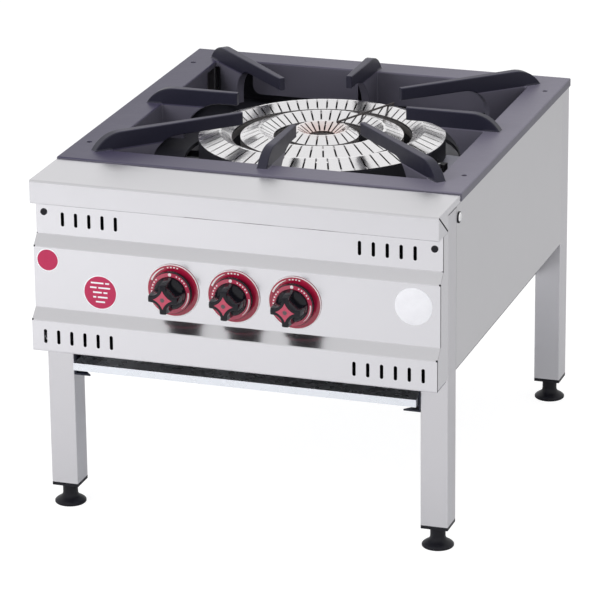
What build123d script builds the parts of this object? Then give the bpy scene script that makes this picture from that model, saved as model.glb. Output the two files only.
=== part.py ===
from build123d import *
import math
import os

# Stock pot range: a low gas range with one three-ring burner under a cast iron top.
# Millimetres. X runs to the right, -Y is the front with the knobs, +Z is up, and Z = 0 is the floor.
# While the pieces are made, Y = 0 is the front edge of the cast top. Each piece is then moved by
# Y_SHIFT as it is saved, which puts the origin under the middle of the whole range.

# ---------------------------------------------------------------- driving dimensions: the range
WIDTH = 600.0  # over the side panels and the legs
TOP_DEPTH = 600.0  # of the cast top, front to back
TOP_HEIGHT = 514.0  # floor to the flat of the cast top
BODY_HEIGHT = 252.0  # flat of the cast top to the lower edge of the side panels
SHEET = 1.2  # stainless sheet
BEND = 3.0  # outside radius of a sheet bend
FLANGE = 12.0  # width of a folded sheet flange
GAP = 0.3  # clearance between pieces that don't touch
END_GAP = 1.5  # open seam between the panel's fold and its ends
RUNNING = 0.05  # radial clearance of a turning or sliding fit

# ---------------------------------------------------------------- driving dimensions: frame
LEG = 40.0  # square leg tube
LEG_WALL = 1.5
LEG_FORWARD = 60.0  # front of the front legs, ahead of the cast top
REAR_SETBACK = 3.0  # back of the rear legs, inside the cast top's rear edge
RAIL = 25.0  # square upper rail tube
RAIL_WALL = 1.5
LOW_RAIL = 20.0  # square lower rail tube
BAR_WIDTH = 30.0  # burner support bar, a channel open below
BAR_HEIGHT = 20.0
BAR_WALL = 2.0
BAR_CLEARANCE = 7.0  # under the mixing tubes

# ---------------------------------------------------------------- driving dimensions: levelling feet
FOOT_HEIGHT = 31.5  # floor to the cap under the leg
CAP_HEIGHT = 5.0  # the part of the end cap that shows under the leg
CAP_PLUG = 25.0  # the part of the end cap inside the leg
FOOT_RADIUS = 23.0
FOOT_RIM = 3.0
FOOT_NECK = 11.0  # neck radius
NECK_HEIGHT = 16.5
STUD_RADIUS = 5.0
STUD_LENGTH = 48.0  # above the neck
STUD_SUNK = 19.0  # in the moulded foot

# ---------------------------------------------------------------- driving dimensions: hood and panel
HOOD_DEPTH = 107.0  # ahead of the cast top
HOOD_DROP = 2.5  # hood top below the cast top
HOOD_FACE = 35.0  # height of the front face
HOOD_RETURN = 20.0
SEAM = 1.4  # width of the seam on the hood's ends
PANEL_TOP_SET = 85.5  # the upper, middle and lower faces of the panel, ahead of the cast top
PANEL_MID_SET = 98.5
PANEL_LOW_SET = 113.5
UPPER_FACE = 87.5  # flat of the cast top down to the end of the panel's upper face
UPPER_SLOPE = 15.0  # height of the slope between the upper and middle faces
MIDDLE_FACE = 91.5
LOWER_SLOPE = 14.0
LOWER_FACE = 47.0
PANEL_RETURN = 45.0
SLOT_WIDTH = 5.0
SLOT_LENGTH = 21.0
SLOT_PITCH = 20.0
UPPER_SLOTS = 5  # a side
UPPER_SLOT_INSET = 40.0  # panel's end to the first slot
UPPER_SLOT_DROP = 64.0  # below the flat of the cast top
LOWER_SLOTS = 6
LOWER_SLOT_INSET = 20.0
PLUG_INSET = 12.0
PLUG_DROP = 55.0
PLUG_RADIUS = 5.0
PLUG_HEAD = 1.0
PLUG_LIP = 1.0
SCREW_FORWARD = 7.5  # side screw, ahead of the cast top
SCREW_DROP = 32.0
SCREW_HEAD_RADIUS = 7.5
SCREW_HEAD = 1.2
SCREW_RADIUS = 3.7

# ---------------------------------------------------------------- driving dimensions: cast top
TOP_OVERHANG = 1.5  # past the side panels
RIM_THICKNESS = 8.0
RIM_ROUND = 2.0
LIP_DEPTH = 13.0  # outer lip, from the flat down to the frame
LIP_WIDTH = 20.0
RIM_WIDTH = 50.0  # outer edge to the well
WELL_CORNER = 20.0
WELL_ROUND = 2.5
WALL = 8.0
WALL_DEPTH = 52.0
WALL_INSET = 55.0  # corner of the well to the end of a wall
WALL_ROUND = 14.0
NOTCH = 19.0  # opening in the wall beside each middle finger
NOTCH_TOP = 12.0
FINGER_HEIGHT = 25.0  # above the flat
TIP_RADIUS = 131.0  # finger tips from the middle
TIP_FACE = 19.0
TIP_THICK = 9.0
ROOT_THICK = 15.0
SHOULDER = 50.0  # radius of the outer end of a finger
FINGER_EDGE = 1.5
ROOT_FILLET = 3.0  # where a finger meets the rim
MID_CREST = 19.0  # well's edge inward to where a middle finger's shoulder starts
MID_ARCH_START = 95.0  # well's edge inward to where its arch starts
MID_ARCH = 62.0
CORNER_CREST = 20.0  # the same three for a corner finger, from the well's corner
CORNER_ARCH_START = 108.0
CORNER_ARCH = 42.0
CORNER_LEG = 10.0
TOP_SCREW_INSET = 18.0  # from the sides
TOP_SCREW_END = 80.0  # from the front and the back
TOP_SCREW_RADIUS = 4.0
TOP_SCREW_SINK = 2.5
SCREW_SLOT = 1.2

# ---------------------------------------------------------------- driving dimensions: burner
RING_DROP = 32.0  # seat of the ring caps below the flat of the cast top
CROWN_HEIGHT = 13.4
CROWN_FLAT = 4.0
RING_EDGE = 3.0  # upright edge of a ring cap
RING_WALL = 3.5
OUTER_RING = (134.0, 151.0, 183.0)  # inner radius, crown radius, outer radius
MIDDLE_RING = (72.0, 93.0, 121.0)
INNER_RING = (20.0, 37.5, 54.5)
OUTER_SLITS = 60
MIDDLE_SLITS = 38
INNER_SLITS = 20
SLIT = 2.6
SLIT_CROWN = 1.0  # a slit starts this far from the crown
TROUGH_DEPTH = 38.0
TROUGH_WALL = 4.0
RIB = 12.0
RIB_DEPTH = 16.0
CARRY_ANGLE = 66.5  # of the flame carry bar, from +X
CARRY_RADIUS = 1.5
CARRY_REACH = 12.0  # past the outer crown
COLUMN_RADIUS = 9.0
COLUMN_X = 122.0  # from the middle of the burner
COLUMN_Y = 100.0
BOLT_RADIUS = 4.0
BOLT_LENGTH = 20.0
BOLT_HEAD = 5.0
BOLT_HEAD_RADIUS = 6.5
PILOT_ANGLE = -9.0  # from +X
PILOT_TAB = 28.0  # upright tab of the bracket, on the trough's wall
PILOT_SPREAD = (-34.0, 74.0)  # ends of the bracket's plate, across the pilot's direction
PILOT_PLATE = 2.0
PILOT_DROP = 28.0  # bracket below the ring seat
PILOT_OUT = 14.0  # outer trough's wall to the pilot's axis
PILOT_RADIUS = 4.5
PILOT_STEM = 26.0
PILOT_HEAD = (11.0, 13.0, 12.0)
PROBE_OFFSET = 10.5
PROBE_RADIUS = 2.0
PROBE_LENGTH = 14.0
COLLAR_WIDTH = 1.2
COLLAR_HEIGHT = 6.0

# ---------------------------------------------------------------- driving dimensions: spill pan and tray
PAN_SHEET = 1.0
PAN_DEPTH = 68.0  # flat of the cast top to the underside of the pan
PAN_LIP_RADIUS = 205.0
PAN_LIP_HEIGHT = 6.0
TRAY_SHEET = 1.0
TRAY_DROP = 44.0  # side panels' lower edge to the underside of the tray
TRAY_HEIGHT = 11.0
TRAY_FORWARD = 11.0  # ahead of the legs
TRAY_SHORT = 37.0  # back of the tray to the back panel
TRAY_ROOM = 0.8  # tray to its runners
RUNNER = 20.0
RUNNER_WALL = 2.5
RUNNER_FOOT = 11.0  # runner below the tray
RUNNER_TAB = 25.0  # corner tab at the foot of its front end

# ---------------------------------------------------------------- driving dimensions: knobs
KNOB_PITCH = 90.0
BEZEL_RADIUS = 38.5
BEZEL = 2.0
BEZEL_ROUND = 0.6
KNOB_GAP = 5.0  # bezel to skirt, more than the push
SKIRT_RADIUS = 30.5
SKIRT_DEPTH = 6.5
SKIRT_WALL = 2.5
SKIRT_ROUND = 0.8
HUB_WALL = 4.0
GRIP_RADIUS = 24.0
GRIP_DEPTH = 31.5
GRIP_TAPER = 4.0  # degrees
SCALLOP = 15.0
SCALLOP_CENTRE = 28.5
DOME_DEPTH = 7.0
DOME_END = 16.0
TRIM = 0.8
TRIM_INSET = 0.9
STAR_RADIUS = 14.0
STAR_SCALLOP = 24.1
STAR_CENTRE = 31.8

# ---------------------------------------------------------------- driving dimensions: taps and pipes
SPINDLE_RADIUS = 4.0
SPINDLE_FLAT = 1.5  # cut off the round
SPINDLE_IN_GRIP = 22.0
SPINDLE_HOLE = 3.0  # radial room round the spindle in the panel
TAIL = 5.0  # square tail of the spindle
TAIL_IN_PLUG = 11.0
TAIL_ROOM = 0.1
BONNET = 3.0
BONNET_RADIUS = 17.0
TAP_RADIUS = 12.0
TAP_LENGTH = 46.0
SPRING_CHAMBER = 11.5  # bonnet to plug
PLUG_LENGTH = 25.0
PLUG_BIG = 8.0
PLUG_SMALL = 6.0
PLUG_PORT = 2.0
TAP_BORE = 3.0
COLLAR = 1.8
COLLAR_RADIUS = 6.6
SPRING_WIRE = 0.5
SPRING_RADIUS = 5.2
SPRING_TURNS = 3
TAP_NECK = 7.0
MANIFOLD_RADIUS = 10.65
MANIFOLD_WALL = 2.6
MANIFOLD_DROP = 29.0  # below the taps
MANIFOLD_START = 60.0  # left leg to the closed end
MANIFOLD_CAP = 4.0
ELBOW_INSET = 35.0  # right leg to the elbow
ELBOW_WALL = 4.0
THREAD_RADIUS = 10.48  # gas thread at the rear
THREAD_LENGTH = 22.0
INLET_NUT = 17.0
INLET_NUT_HEIGHT = 6.0
PIPE_RADIUS = 5.0
PIPE_WALL = 1.0
PIPE_BEND = 15.0
PIPE_SOCKET = 6.0
TUBE_RADIUS = 15.0
TUBE_WALL = 3.0
TUBE_DROP = 17.0  # mixing tubes' axes below the burner body
BELL_RADIUS = 18.0
BELL_LENGTH = 14.0
MOUTH_Y = 58.0
NECK_RADIUS = 13.0
INJECTOR_SHANK = 5.9
NOZZLE_RADIUS = 2.0
NOZZLE_LENGTH = 6.0
INJECTOR_BORE = 1.0
JOURNAL_RADIUS = 7.0
JOURNAL = 1.8
HEX_RADIUS = 10.0
HEX_LENGTH = 10.0
SHUTTER = 1.5
SHUTTER_TAB = 8.0
WINDOW_RADIUS = 3.0
WINDOW_CENTRE = 11.5
WINDOWS = 3

# ---------------------------------------------------------------- sizes worked out from them
HALF = WIDTH / 2
SEAT = TOP_HEIGHT - LIP_DEPTH  # where the cast top rests
FRAME_TOP = SEAT - SHEET  # tops of the legs and the upper rails
BODY_BOTTOM = TOP_HEIGHT - BODY_HEIGHT
LEG_BOTTOM = FOOT_HEIGHT + CAP_HEIGHT
FRONT_LEG_BACK = LEG - LEG_FORWARD
REAR = TOP_DEPTH - REAR_SETBACK  # back faces of the rear legs and the back panel
REAR_INSIDE = REAR - SHEET
REAR_LEG_FRONT = REAR - LEG
LEG_INSIDE = HALF - LEG
PANEL_INSIDE = HALF - SHEET
RAIL_INSIDE = PANEL_INSIDE - RAIL
CENTRE_Y = TOP_DEPTH / 2
WELL = HALF - RIM_WIDTH
WELL_Y = CENTRE_Y - RIM_WIDTH
WELL_DIAGONAL = math.hypot(WELL, WELL_Y) - WELL_CORNER * (math.sqrt(2) - 1)
HOOD_TOP = TOP_HEIGHT - HOOD_DROP
HOOD_BOTTOM = HOOD_TOP - HOOD_FACE
PANEL_HEIGHTS = (
    TOP_HEIGHT - UPPER_FACE,
    TOP_HEIGHT - UPPER_FACE - UPPER_SLOPE,
    TOP_HEIGHT - UPPER_FACE - UPPER_SLOPE - MIDDLE_FACE,
    TOP_HEIGHT - UPPER_FACE - UPPER_SLOPE - MIDDLE_FACE - LOWER_SLOPE,
    TOP_HEIGHT - UPPER_FACE - UPPER_SLOPE - MIDDLE_FACE - LOWER_SLOPE - LOWER_FACE,
)
PANEL_SETS = (PANEL_TOP_SET, PANEL_MID_SET, PANEL_MID_SET, PANEL_LOW_SET, PANEL_LOW_SET)
KNOB_Z = (PANEL_HEIGHTS[1] + PANEL_HEIGHTS[2]) / 2
LOWER_SLOT_Z = (PANEL_HEIGHTS[3] + PANEL_HEIGHTS[4]) / 2
PAN_FLOOR = TOP_HEIGHT - PAN_DEPTH
RING_SEAT = TOP_HEIGHT - RING_DROP
CROWN = RING_SEAT + CROWN_HEIGHT
BODY_FLOOR = RING_SEAT - TROUGH_DEPTH
TUBE_Z = BODY_FLOOR - TUBE_DROP
BAR_TOP = TUBE_Z - TUBE_RADIUS - BAR_CLEARANCE
BAR_BOTTOM = BAR_TOP - BAR_HEIGHT
TRAY_BOTTOM = BODY_BOTTOM - TRAY_DROP
SKIRT_BACK = -PANEL_MID_SET - BEZEL - KNOB_GAP
SKIRT_FRONT = SKIRT_BACK - SKIRT_DEPTH
GRIP_FRONT = SKIRT_FRONT - GRIP_DEPTH
KNOB_FRONT = GRIP_FRONT - TRIM
PANEL_BACK = SHEET - PANEL_MID_SET
TAP_FRONT = PANEL_BACK + BONNET
TAP_END = TAP_FRONT + TAP_LENGTH
COLLAR_FRONT = TAP_FRONT + GAP
PLUG_FRONT = TAP_FRONT + SPRING_CHAMBER
PLUG_BACK = PLUG_FRONT + PLUG_LENGTH
MANIFOLD_Y = PLUG_BACK - PLUG_BIG
MANIFOLD_Z = KNOB_Z - MANIFOLD_DROP
MANIFOLD_LEFT = MANIFOLD_START - LEG_INSIDE
INLET_X = LEG_INSIDE - ELBOW_INSET
INLET_END = REAR + THREAD_LENGTH
HEX_BACK = MOUTH_Y - JOURNAL
HEX_FRONT = HEX_BACK - HEX_LENGTH
Y_SHIFT = -(KNOB_FRONT + INLET_END) / 2
KNOB_X = {"left": -KNOB_PITCH, "centre": 0.0, "right": KNOB_PITCH}
# The left tap feeds the outer ring, the centre one the inner ring and the right one the middle ring.
FEED = {"left": OUTER_RING, "centre": INNER_RING, "right": MIDDLE_RING}
LEG_PLACES = {
    "front_left": (-HALF + LEG / 2, FRONT_LEG_BACK - LEG / 2),
    "front_right": (HALF - LEG / 2, FRONT_LEG_BACK - LEG / 2),
    "rear_left": (-HALF + LEG / 2, REAR - LEG / 2),
    "rear_right": (HALF - LEG / 2, REAR - LEG / 2),
}
COLUMNS = [(x, CENTRE_Y + y) for x in (-COLUMN_X, COLUMN_X) for y in (-COLUMN_Y, COLUMN_Y)]
TOP_SCREW_X = HALF - TOP_SCREW_INSET
TOP_SCREWS = [(x, y) for x in (-TOP_SCREW_X, TOP_SCREW_X) for y in (TOP_SCREW_END, TOP_DEPTH - TOP_SCREW_END)]

BACK = (0, 1, 0)
FORWARD = (0, -1, 0)
RIGHT = (1, 0, 0)
UP = (0, 0, 1)
DOWN = (0, 0, -1)
STANDING = (Align.CENTER, Align.CENTER, Align.MIN)
HANGING = (Align.CENTER, Align.CENTER, Align.MAX)


# ---------------------------------------------------------------- shared shapes
def save(name, *solids):
    """Write one node, moved so that the origin is under the middle of the range."""
    shape = solids[0] if len(solids) == 1 else Compound(children=list(solids))
    export_step(Pos(0, Y_SHIFT, 0) * shape, f"parts/{name}.step")


def block(x, y, z):
    """A box between two limits on each axis."""
    middle = Pos((x[0] + x[1]) / 2, (y[0] + y[1]) / 2, (z[0] + z[1]) / 2)
    return middle * Box(x[1] - x[0], y[1] - y[0], z[1] - z[0])


def rod(start, axis, radius, length):
    """A round bar that starts at a point and runs along an axis."""
    return Plane(origin=start, z_dir=axis) * Cylinder(radius, length, align=STANDING)


def cone(start, axis, radius, end_radius, length):
    """A tapered round bar."""
    return Plane(origin=start, z_dir=axis) * Cone(radius, end_radius, length, align=STANDING)


def prism(start, axis, radius, length):
    """A hexagonal bar."""
    return extrude(Plane(origin=start, z_dir=axis) * RegularPolygon(radius, 6), amount=length)


def square_tube(x, y, z, wall, along):
    """A square tube with open ends, along the axis 0, 1 or 2."""
    limits = [x, y, z]
    inner = [(low + wall, high - wall) for low, high in limits]
    low, high = limits[along]
    inner[along] = (low - 1, high + 1)
    return block(*limits) - block(*inner)


def turned(points):
    """A solid of revolution about Z from (radius, height) points."""
    face = make_face(Polyline(*[(r, 0, z) for r, z in points], close=True))
    return revolve(face, Axis.Z, 360)


def sheet_face(points, thickness):
    """The section of a folded sheet: (y, z) points along one face, with the metal on their left."""
    count = len(points)
    inner = []
    first_radii = []
    second_radii = []
    for i, (y, z) in enumerate(points):
        before = points[max(i - 1, 0)]
        after = points[min(i + 1, count - 1)]
        arriving = math.atan2(z - before[1], y - before[0])
        leaving = math.atan2(after[1] - z, after[0] - y)
        arriving = leaving if i == 0 else arriving
        leaving = arriving if i == count - 1 else leaving
        turn = math.remainder(leaving - arriving, math.tau)
        reach = thickness / math.cos(turn / 2)
        normal = arriving + turn / 2 + math.pi / 2
        inner.append((y + reach * math.cos(normal), z + reach * math.sin(normal)))
        if 0 < i < count - 1:
            first_radii.append(BEND if turn > 0 else BEND - thickness)
            second_radii.append(BEND - thickness if turn > 0 else BEND)
    one_side = FilletPolyline(*[(0, y, z) for y, z in points], radius=first_radii)
    back = [(0, y, z) for y, z in reversed(inner)]
    other_side = FilletPolyline(*back, radius=second_radii[::-1])
    ends = [Line(one_side @ 1, other_side @ 0), Line(other_side @ 1, one_side @ 0)]
    return make_face([one_side, other_side] + ends)


def folded(points, thickness, half_width):
    """A folded sheet with one section all along X, from -half_width to half_width."""
    return extrude(sheet_face(points, thickness), amount=half_width, dir=RIGHT, both=True)


def plate(points, x):
    """A flat plate with a (y, z) outline, between two X limits."""
    face = make_face(Polyline(*[(x[0], y, z) for y, z in points], close=True))
    return extrude(face, amount=x[1] - x[0], dir=RIGHT)


def both_sides(solid):
    """A solid and its mirror image on the other side of the range."""
    return [solid, mirror(solid, Plane.YZ)]


# ---------------------------------------------------------------- legs and feet
def leg(place):
    """A square tube leg with rounded corners."""
    length = FRAME_TOP - LEG_BOTTOM
    tube = Pos(*place, LEG_BOTTOM) * Box(LEG, LEG, length, align=STANDING)
    tube = fillet(tube.edges().filter_by(Axis.Z), LEG_WALL)
    bore = LEG - 2 * LEG_WALL
    return tube - Pos(*place, LEG_BOTTOM) * Box(bore, bore, 3 * length)


def end_cap(place):
    """A plastic cap plugged into the leg's lower end, which carries the levelling foot."""
    cap = Pos(*place, FOOT_HEIGHT) * Box(LEG, LEG, CAP_HEIGHT, align=STANDING)
    cap = fillet(cap.edges().filter_by(Axis.Z), LEG_WALL)
    size = LEG - 2 * LEG_WALL - GAP
    cap += Pos(*place, LEG_BOTTOM) * Box(size, size, CAP_PLUG, align=STANDING)
    return cap - rod((*place, 0), UP, STUD_RADIUS + RUNNING, FRAME_TOP)


def levelling_foot(place):
    """A moulded foot on its steel stud, screwed right in: two solids."""
    edge = 1.0
    rim_top = (FOOT_RADIUS, 0, FOOT_RIM)
    neck = (FOOT_NECK, 0, NECK_HEIGHT)
    base = Polyline((0, 0, 0), (FOOT_RADIUS - edge, 0, 0), (FOOT_RADIUS, 0, edge), rim_top)
    flare = Spline(rim_top, neck, tangents=[(-3, 0, 4), UP])
    top = Polyline(neck, (FOOT_NECK, 0, FOOT_HEIGHT), (0, 0, FOOT_HEIGHT), (0, 0, 0))
    half = make_face([base, flare, top])
    sunk = FOOT_HEIGHT - STUD_SUNK
    foot = revolve(half, Axis.Z, 360) - rod((0, 0, sunk), UP, STUD_RADIUS, STUD_SUNK)
    stud = rod((0, 0, sunk), UP, STUD_RADIUS, STUD_SUNK + STUD_LENGTH)
    stud = chamfer(stud.edges().group_by(Axis.Z)[-1], edge)
    return [Pos(*place, 0) * foot, Pos(*place, 0) * stud]


# ---------------------------------------------------------------- frame
def upper_rails():
    """The rails under the cast top: left, right, front and rear."""
    z = (FRAME_TOP - RAIL, FRAME_TOP)
    side = square_tube((RAIL_INSIDE, PANEL_INSIDE), (FRONT_LEG_BACK, REAR_LEG_FRONT), z, RAIL_WALL, 1)
    front = square_tube((-RAIL_INSIDE, RAIL_INSIDE), (0, RAIL), z, RAIL_WALL, 0)
    rear = square_tube((-LEG_INSIDE, LEG_INSIDE), (REAR_INSIDE - RAIL, REAR_INSIDE), z, RAIL_WALL, 0)
    return both_sides(side) + [front, rear]


def lower_rails():
    """The side rails under the burner bars, and the low rails between the legs, front and rear."""
    z = (BAR_BOTTOM - LOW_RAIL, BAR_BOTTOM)
    side_x = (PANEL_INSIDE - LOW_RAIL, PANEL_INSIDE)
    side = square_tube(side_x, (FRONT_LEG_BACK, REAR_LEG_FRONT), z, RAIL_WALL, 1)
    z = (BODY_BOTTOM + SHEET, BODY_BOTTOM + SHEET + LOW_RAIL)
    across = (-LEG_INSIDE, LEG_INSIDE)
    front = square_tube(across, (-LEG_FORWARD, LOW_RAIL - LEG_FORWARD), z, RAIL_WALL, 0)
    rear = square_tube(across, (REAR_INSIDE - LOW_RAIL, REAR_INSIDE), z, RAIL_WALL, 0)
    return both_sides(side) + [front, rear]


def burner_bar(y):
    """A channel across the range, open below, lying on the side rails."""
    reach = PANEL_INSIDE - GAP
    half = BAR_WIDTH / 2
    bar = block((-reach, reach), (y - half, y + half), (BAR_BOTTOM, BAR_TOP))
    half -= BAR_WALL
    bar -= block((-HALF, HALF), (y - half, y + half), (BAR_BOTTOM - 1, BAR_TOP - BAR_WALL))
    for x in (-COLUMN_X, COLUMN_X):
        bar -= rod((x, y, BAR_BOTTOM), UP, BOLT_RADIUS + GAP, BAR_HEIGHT + 1)
    return bar


# ---------------------------------------------------------------- casing
def side_panel():
    """The right side panel: a wall between the legs, a top flange over the rail and leg, a bottom flange."""
    between = (FRONT_LEG_BACK, REAR_LEG_FRONT)
    wall = block((PANEL_INSIDE, HALF), between, (BODY_BOTTOM, SEAT))
    top = block((HALF - FLANGE, HALF), (FRONT_LEG_BACK, REAR), (FRAME_TOP, SEAT))
    bottom = block((HALF - FLANGE, HALF), between, (BODY_BOTTOM, BODY_BOTTOM + SHEET))
    screw_z = TOP_HEIGHT - SCREW_DROP
    hole = rod((PANEL_INSIDE - 1, -SCREW_FORWARD, screw_z), RIGHT, SCREW_RADIUS + GAP, SHEET + 2)
    return wall + top + bottom - hole


def side_screw():
    """A domed screw through the panel to the upper rail."""
    place = (-SCREW_FORWARD, TOP_HEIGHT - SCREW_DROP)
    head = rod((HALF, *place), RIGHT, SCREW_HEAD_RADIUS, SCREW_HEAD)
    head = fillet(head.edges().group_by(Axis.X)[-1], 0.8 * SCREW_HEAD)
    return head + rod((PANEL_INSIDE, *place), RIGHT, SCREW_RADIUS, SHEET)


def back_panel():
    """The back panel between the rear legs, with flanges top and bottom and a hole for the gas inlet."""
    across = (-LEG_INSIDE, LEG_INSIDE)
    wall = block(across, (REAR_INSIDE, REAR), (BODY_BOTTOM, SEAT))
    top = block(across, (REAR - FLANGE, REAR), (FRAME_TOP, SEAT))
    bottom = block(across, (REAR - FLANGE, REAR), (BODY_BOTTOM, BODY_BOTTOM + SHEET))
    hole = rod((INLET_X, REAR_INSIDE - 1, MANIFOLD_Z), BACK, MANIFOLD_RADIUS + GAP, SHEET + 2)
    return wall + top + bottom - hole


def hood():
    """The flat front ledge, one folded sheet with closed ends."""
    rear = -2 * GAP
    front = -HOOD_DEPTH
    section = [
        (FLANGE, SEAT),
        (rear, SEAT),
        (rear, HOOD_TOP),
        (front, HOOD_TOP),
        (front, HOOD_BOTTOM),
        (front + HOOD_RETURN, HOOD_BOTTOM),
    ]
    body = folded(section, SHEET, HALF)
    clear = block((RAIL_INSIDE, HALF + 1), (rear - BEND, FLANGE + 1), (FRAME_TOP - 1, SEAT + BEND))
    for corner in both_sides(clear):
        body -= corner
    leg_front = -LEG_FORWARD - GAP
    low = SEAT + GAP
    outline = [(rear, low), (rear, HOOD_TOP), (front, HOOD_TOP), (front, HOOD_BOTTOM)]
    outline.append((leg_front, HOOD_BOTTOM))
    rounded = FilletPolyline(*[(PANEL_INSIDE, y, z) for y, z in outline], radius=BEND)
    closing = Polyline(rounded @ 1, (PANEL_INSIDE, leg_front, low), rounded @ 0)
    cap = extrude(make_face([rounded, closing]), amount=SHEET, dir=RIGHT)
    cap -= hood_seam(front, leg_front)
    for end in both_sides(cap):
        body += end
    return body


def hood_seam(front, leg_front):
    """The tool for the mitred seam on the hood's end, from the front top corner down to the leg."""
    run = leg_front - front
    slope = math.degrees(math.atan2(HOOD_FACE, run))
    across = (Align.CENTER, Align.MIN, Align.CENTER)
    seam = Box(SHEET, math.hypot(HOOD_FACE, run), SEAM, align=across)
    limits = block((PANEL_INSIDE, HALF + 1), (front + BEND, leg_front - BEND), (HOOD_BOTTOM, HOOD_TOP))
    return Pos(HALF, front, HOOD_TOP) * Rot(-slope, 0, 0) * seam & limits


def control_panel():
    """One sheet folded into three faces that step forward going down, closed at both ends."""
    faces = [(-depth, z) for depth, z in zip(PANEL_SETS, PANEL_HEIGHTS)]
    tuck = HOOD_TOP - SHEET
    section = [(-PANEL_TOP_SET + HOOD_RETURN, tuck), (-PANEL_TOP_SET, tuck)]
    section += faces + [(-PANEL_LOW_SET + PANEL_RETURN, PANEL_HEIGHTS[-1])]
    panel = folded(section, SHEET, HALF)
    behind = SHEET + END_GAP
    under_hood = HOOD_BOTTOM - GAP
    low = PANEL_HEIGHTS[-1] + behind
    outline = [(-PANEL_TOP_SET + behind, under_hood)]
    outline += [(y + behind, max(z, low)) for y, z in faces]
    outline += [(-LEG_FORWARD, low), (-LEG_FORWARD, under_hood)]
    end = plate(outline, (PANEL_INSIDE, HALF))
    tab_x = (PANEL_INSIDE - SHEET, PANEL_INSIDE)
    low_z = (PANEL_HEIGHTS[-1] + SHEET / 2, low + SHEET)
    low_tab = block(tab_x, (-PANEL_LOW_SET + BEND, -LEG_FORWARD), low_z)
    mid_z = (PANEL_HEIGHTS[2], PANEL_HEIGHTS[1])
    mid_tab = block(tab_x, (-PANEL_MID_SET + SHEET / 2, -LEG_FORWARD), mid_z)
    in_hood = block((PANEL_INSIDE - GAP, HALF + 1), (-HOOD_DEPTH, 0), (under_hood, HOOD_TOP))
    for piece in both_sides(end) + both_sides(low_tab) + both_sides(mid_tab):
        panel += piece
    return panel - both_sides(in_hood) - panel_slots() - panel_holes()


def panel_slots():
    """The tools that cut the rows of vent slots near the panel's upper and lower corners."""
    tools = []
    rows = [
        (UPPER_SLOTS, HALF - UPPER_SLOT_INSET, TOP_HEIGHT - UPPER_SLOT_DROP, PANEL_TOP_SET),
        (LOWER_SLOTS, HALF - LOWER_SLOT_INSET, LOWER_SLOT_Z, PANEL_LOW_SET),
    ]
    for count, first, z, depth in rows:
        for i in range(count):
            face = Plane(origin=(first - i * SLOT_PITCH, -depth, z), x_dir=UP, z_dir=FORWARD)
            slot = extrude(face * SlotOverall(SLOT_LENGTH, SLOT_WIDTH), amount=2 * SHEET, both=True)
            tools += both_sides(slot)
    return tools


def panel_holes():
    """The tools that cut the holes for the plugs and the spindles."""
    plug_place = (HALF - PLUG_INSET, -PANEL_TOP_SET - 1, TOP_HEIGHT - PLUG_DROP)
    tools = both_sides(rod(plug_place, BACK, PLUG_RADIUS - PLUG_LIP, SHEET + 2))
    for x in KNOB_X.values():
        tools.append(rod((x, -PANEL_MID_SET - 1, KNOB_Z), BACK, SPINDLE_RADIUS + SPINDLE_HOLE, SHEET + 2))
    return tools


def panel_plug():
    """A black plug snapped into its hole near the top corner of the panel."""
    place = (HALF - PLUG_INSET, -PANEL_TOP_SET, TOP_HEIGHT - PLUG_DROP)
    head = rod(place, FORWARD, PLUG_RADIUS, PLUG_HEAD)
    return head + rod(place, BACK, PLUG_RADIUS - PLUG_LIP - RUNNING, 2 * SHEET)


# ---------------------------------------------------------------- cast top
def finger(well, crest_in, arch_in, arch, leg_end, angle):
    """One pan support, a deep tapering web that points at the middle of the well."""
    top = TOP_HEIGHT + FINGER_HEIGHT
    tip_bottom = top - TIP_FACE
    foot = TOP_HEIGHT - WALL_DEPTH
    under = TOP_HEIGHT - RIM_THICKNESS
    crest = well - crest_in
    root = crest + math.sqrt(SHOULDER**2 - (SHOULDER - FINGER_HEIGHT) ** 2)
    lean = math.pi / 6
    shoulder_mid = (crest + SHOULDER * math.sin(lean), 0, top - SHOULDER * (1 - math.cos(lean)))
    start = well - arch_in
    spring = max(tip_bottom - arch, foot)
    turn = math.acos((arch - tip_bottom + spring) / arch)
    end = start + arch * math.sin(turn)
    arch_mid = (start + arch * math.sin(turn / 2), 0, tip_bottom - arch * (1 - math.cos(turn / 2)))
    outline = [
        Line((TIP_RADIUS, 0, tip_bottom), (TIP_RADIUS, 0, top)),
        Line((TIP_RADIUS, 0, top), (crest, 0, top)),
        ThreePointArc((crest, 0, top), shoulder_mid, (root, 0, TOP_HEIGHT)),
        Polyline((root, 0, TOP_HEIGHT), (root, 0, under), (leg_end, 0, under)),
        Polyline((leg_end, 0, under), (leg_end, 0, foot), (end, 0, foot)),
        ThreePointArc((end, 0, spring), arch_mid, (start, 0, tip_bottom)),
        Line((start, 0, tip_bottom), (TIP_RADIUS, 0, tip_bottom)),
    ]
    if spring > foot:
        outline.append(Line((end, 0, foot), (end, 0, spring)))
    web = extrude(make_face(outline), amount=ROOT_THICK, dir=BACK, both=True)
    near = TIP_THICK / 2
    far = ROOT_THICK / 2
    outside = max(root, leg_end)
    plan = Polyline((TIP_RADIUS, -near), (outside, -far), (outside, far), (TIP_RADIUS, near), close=True)
    web = web & Pos(0, 0, foot) * extrude(make_face(plan), amount=WALL_DEPTH + FINGER_HEIGHT)
    crown = web.edges().filter_by(lambda e: e.center().Z > TOP_HEIGHT + RIM_ROUND and abs(e.center().Y) > 1)
    return Pos(0, CENTRE_Y, 0) * Rot(0, 0, angle) * fillet(crown, FINGER_EDGE)


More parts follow.
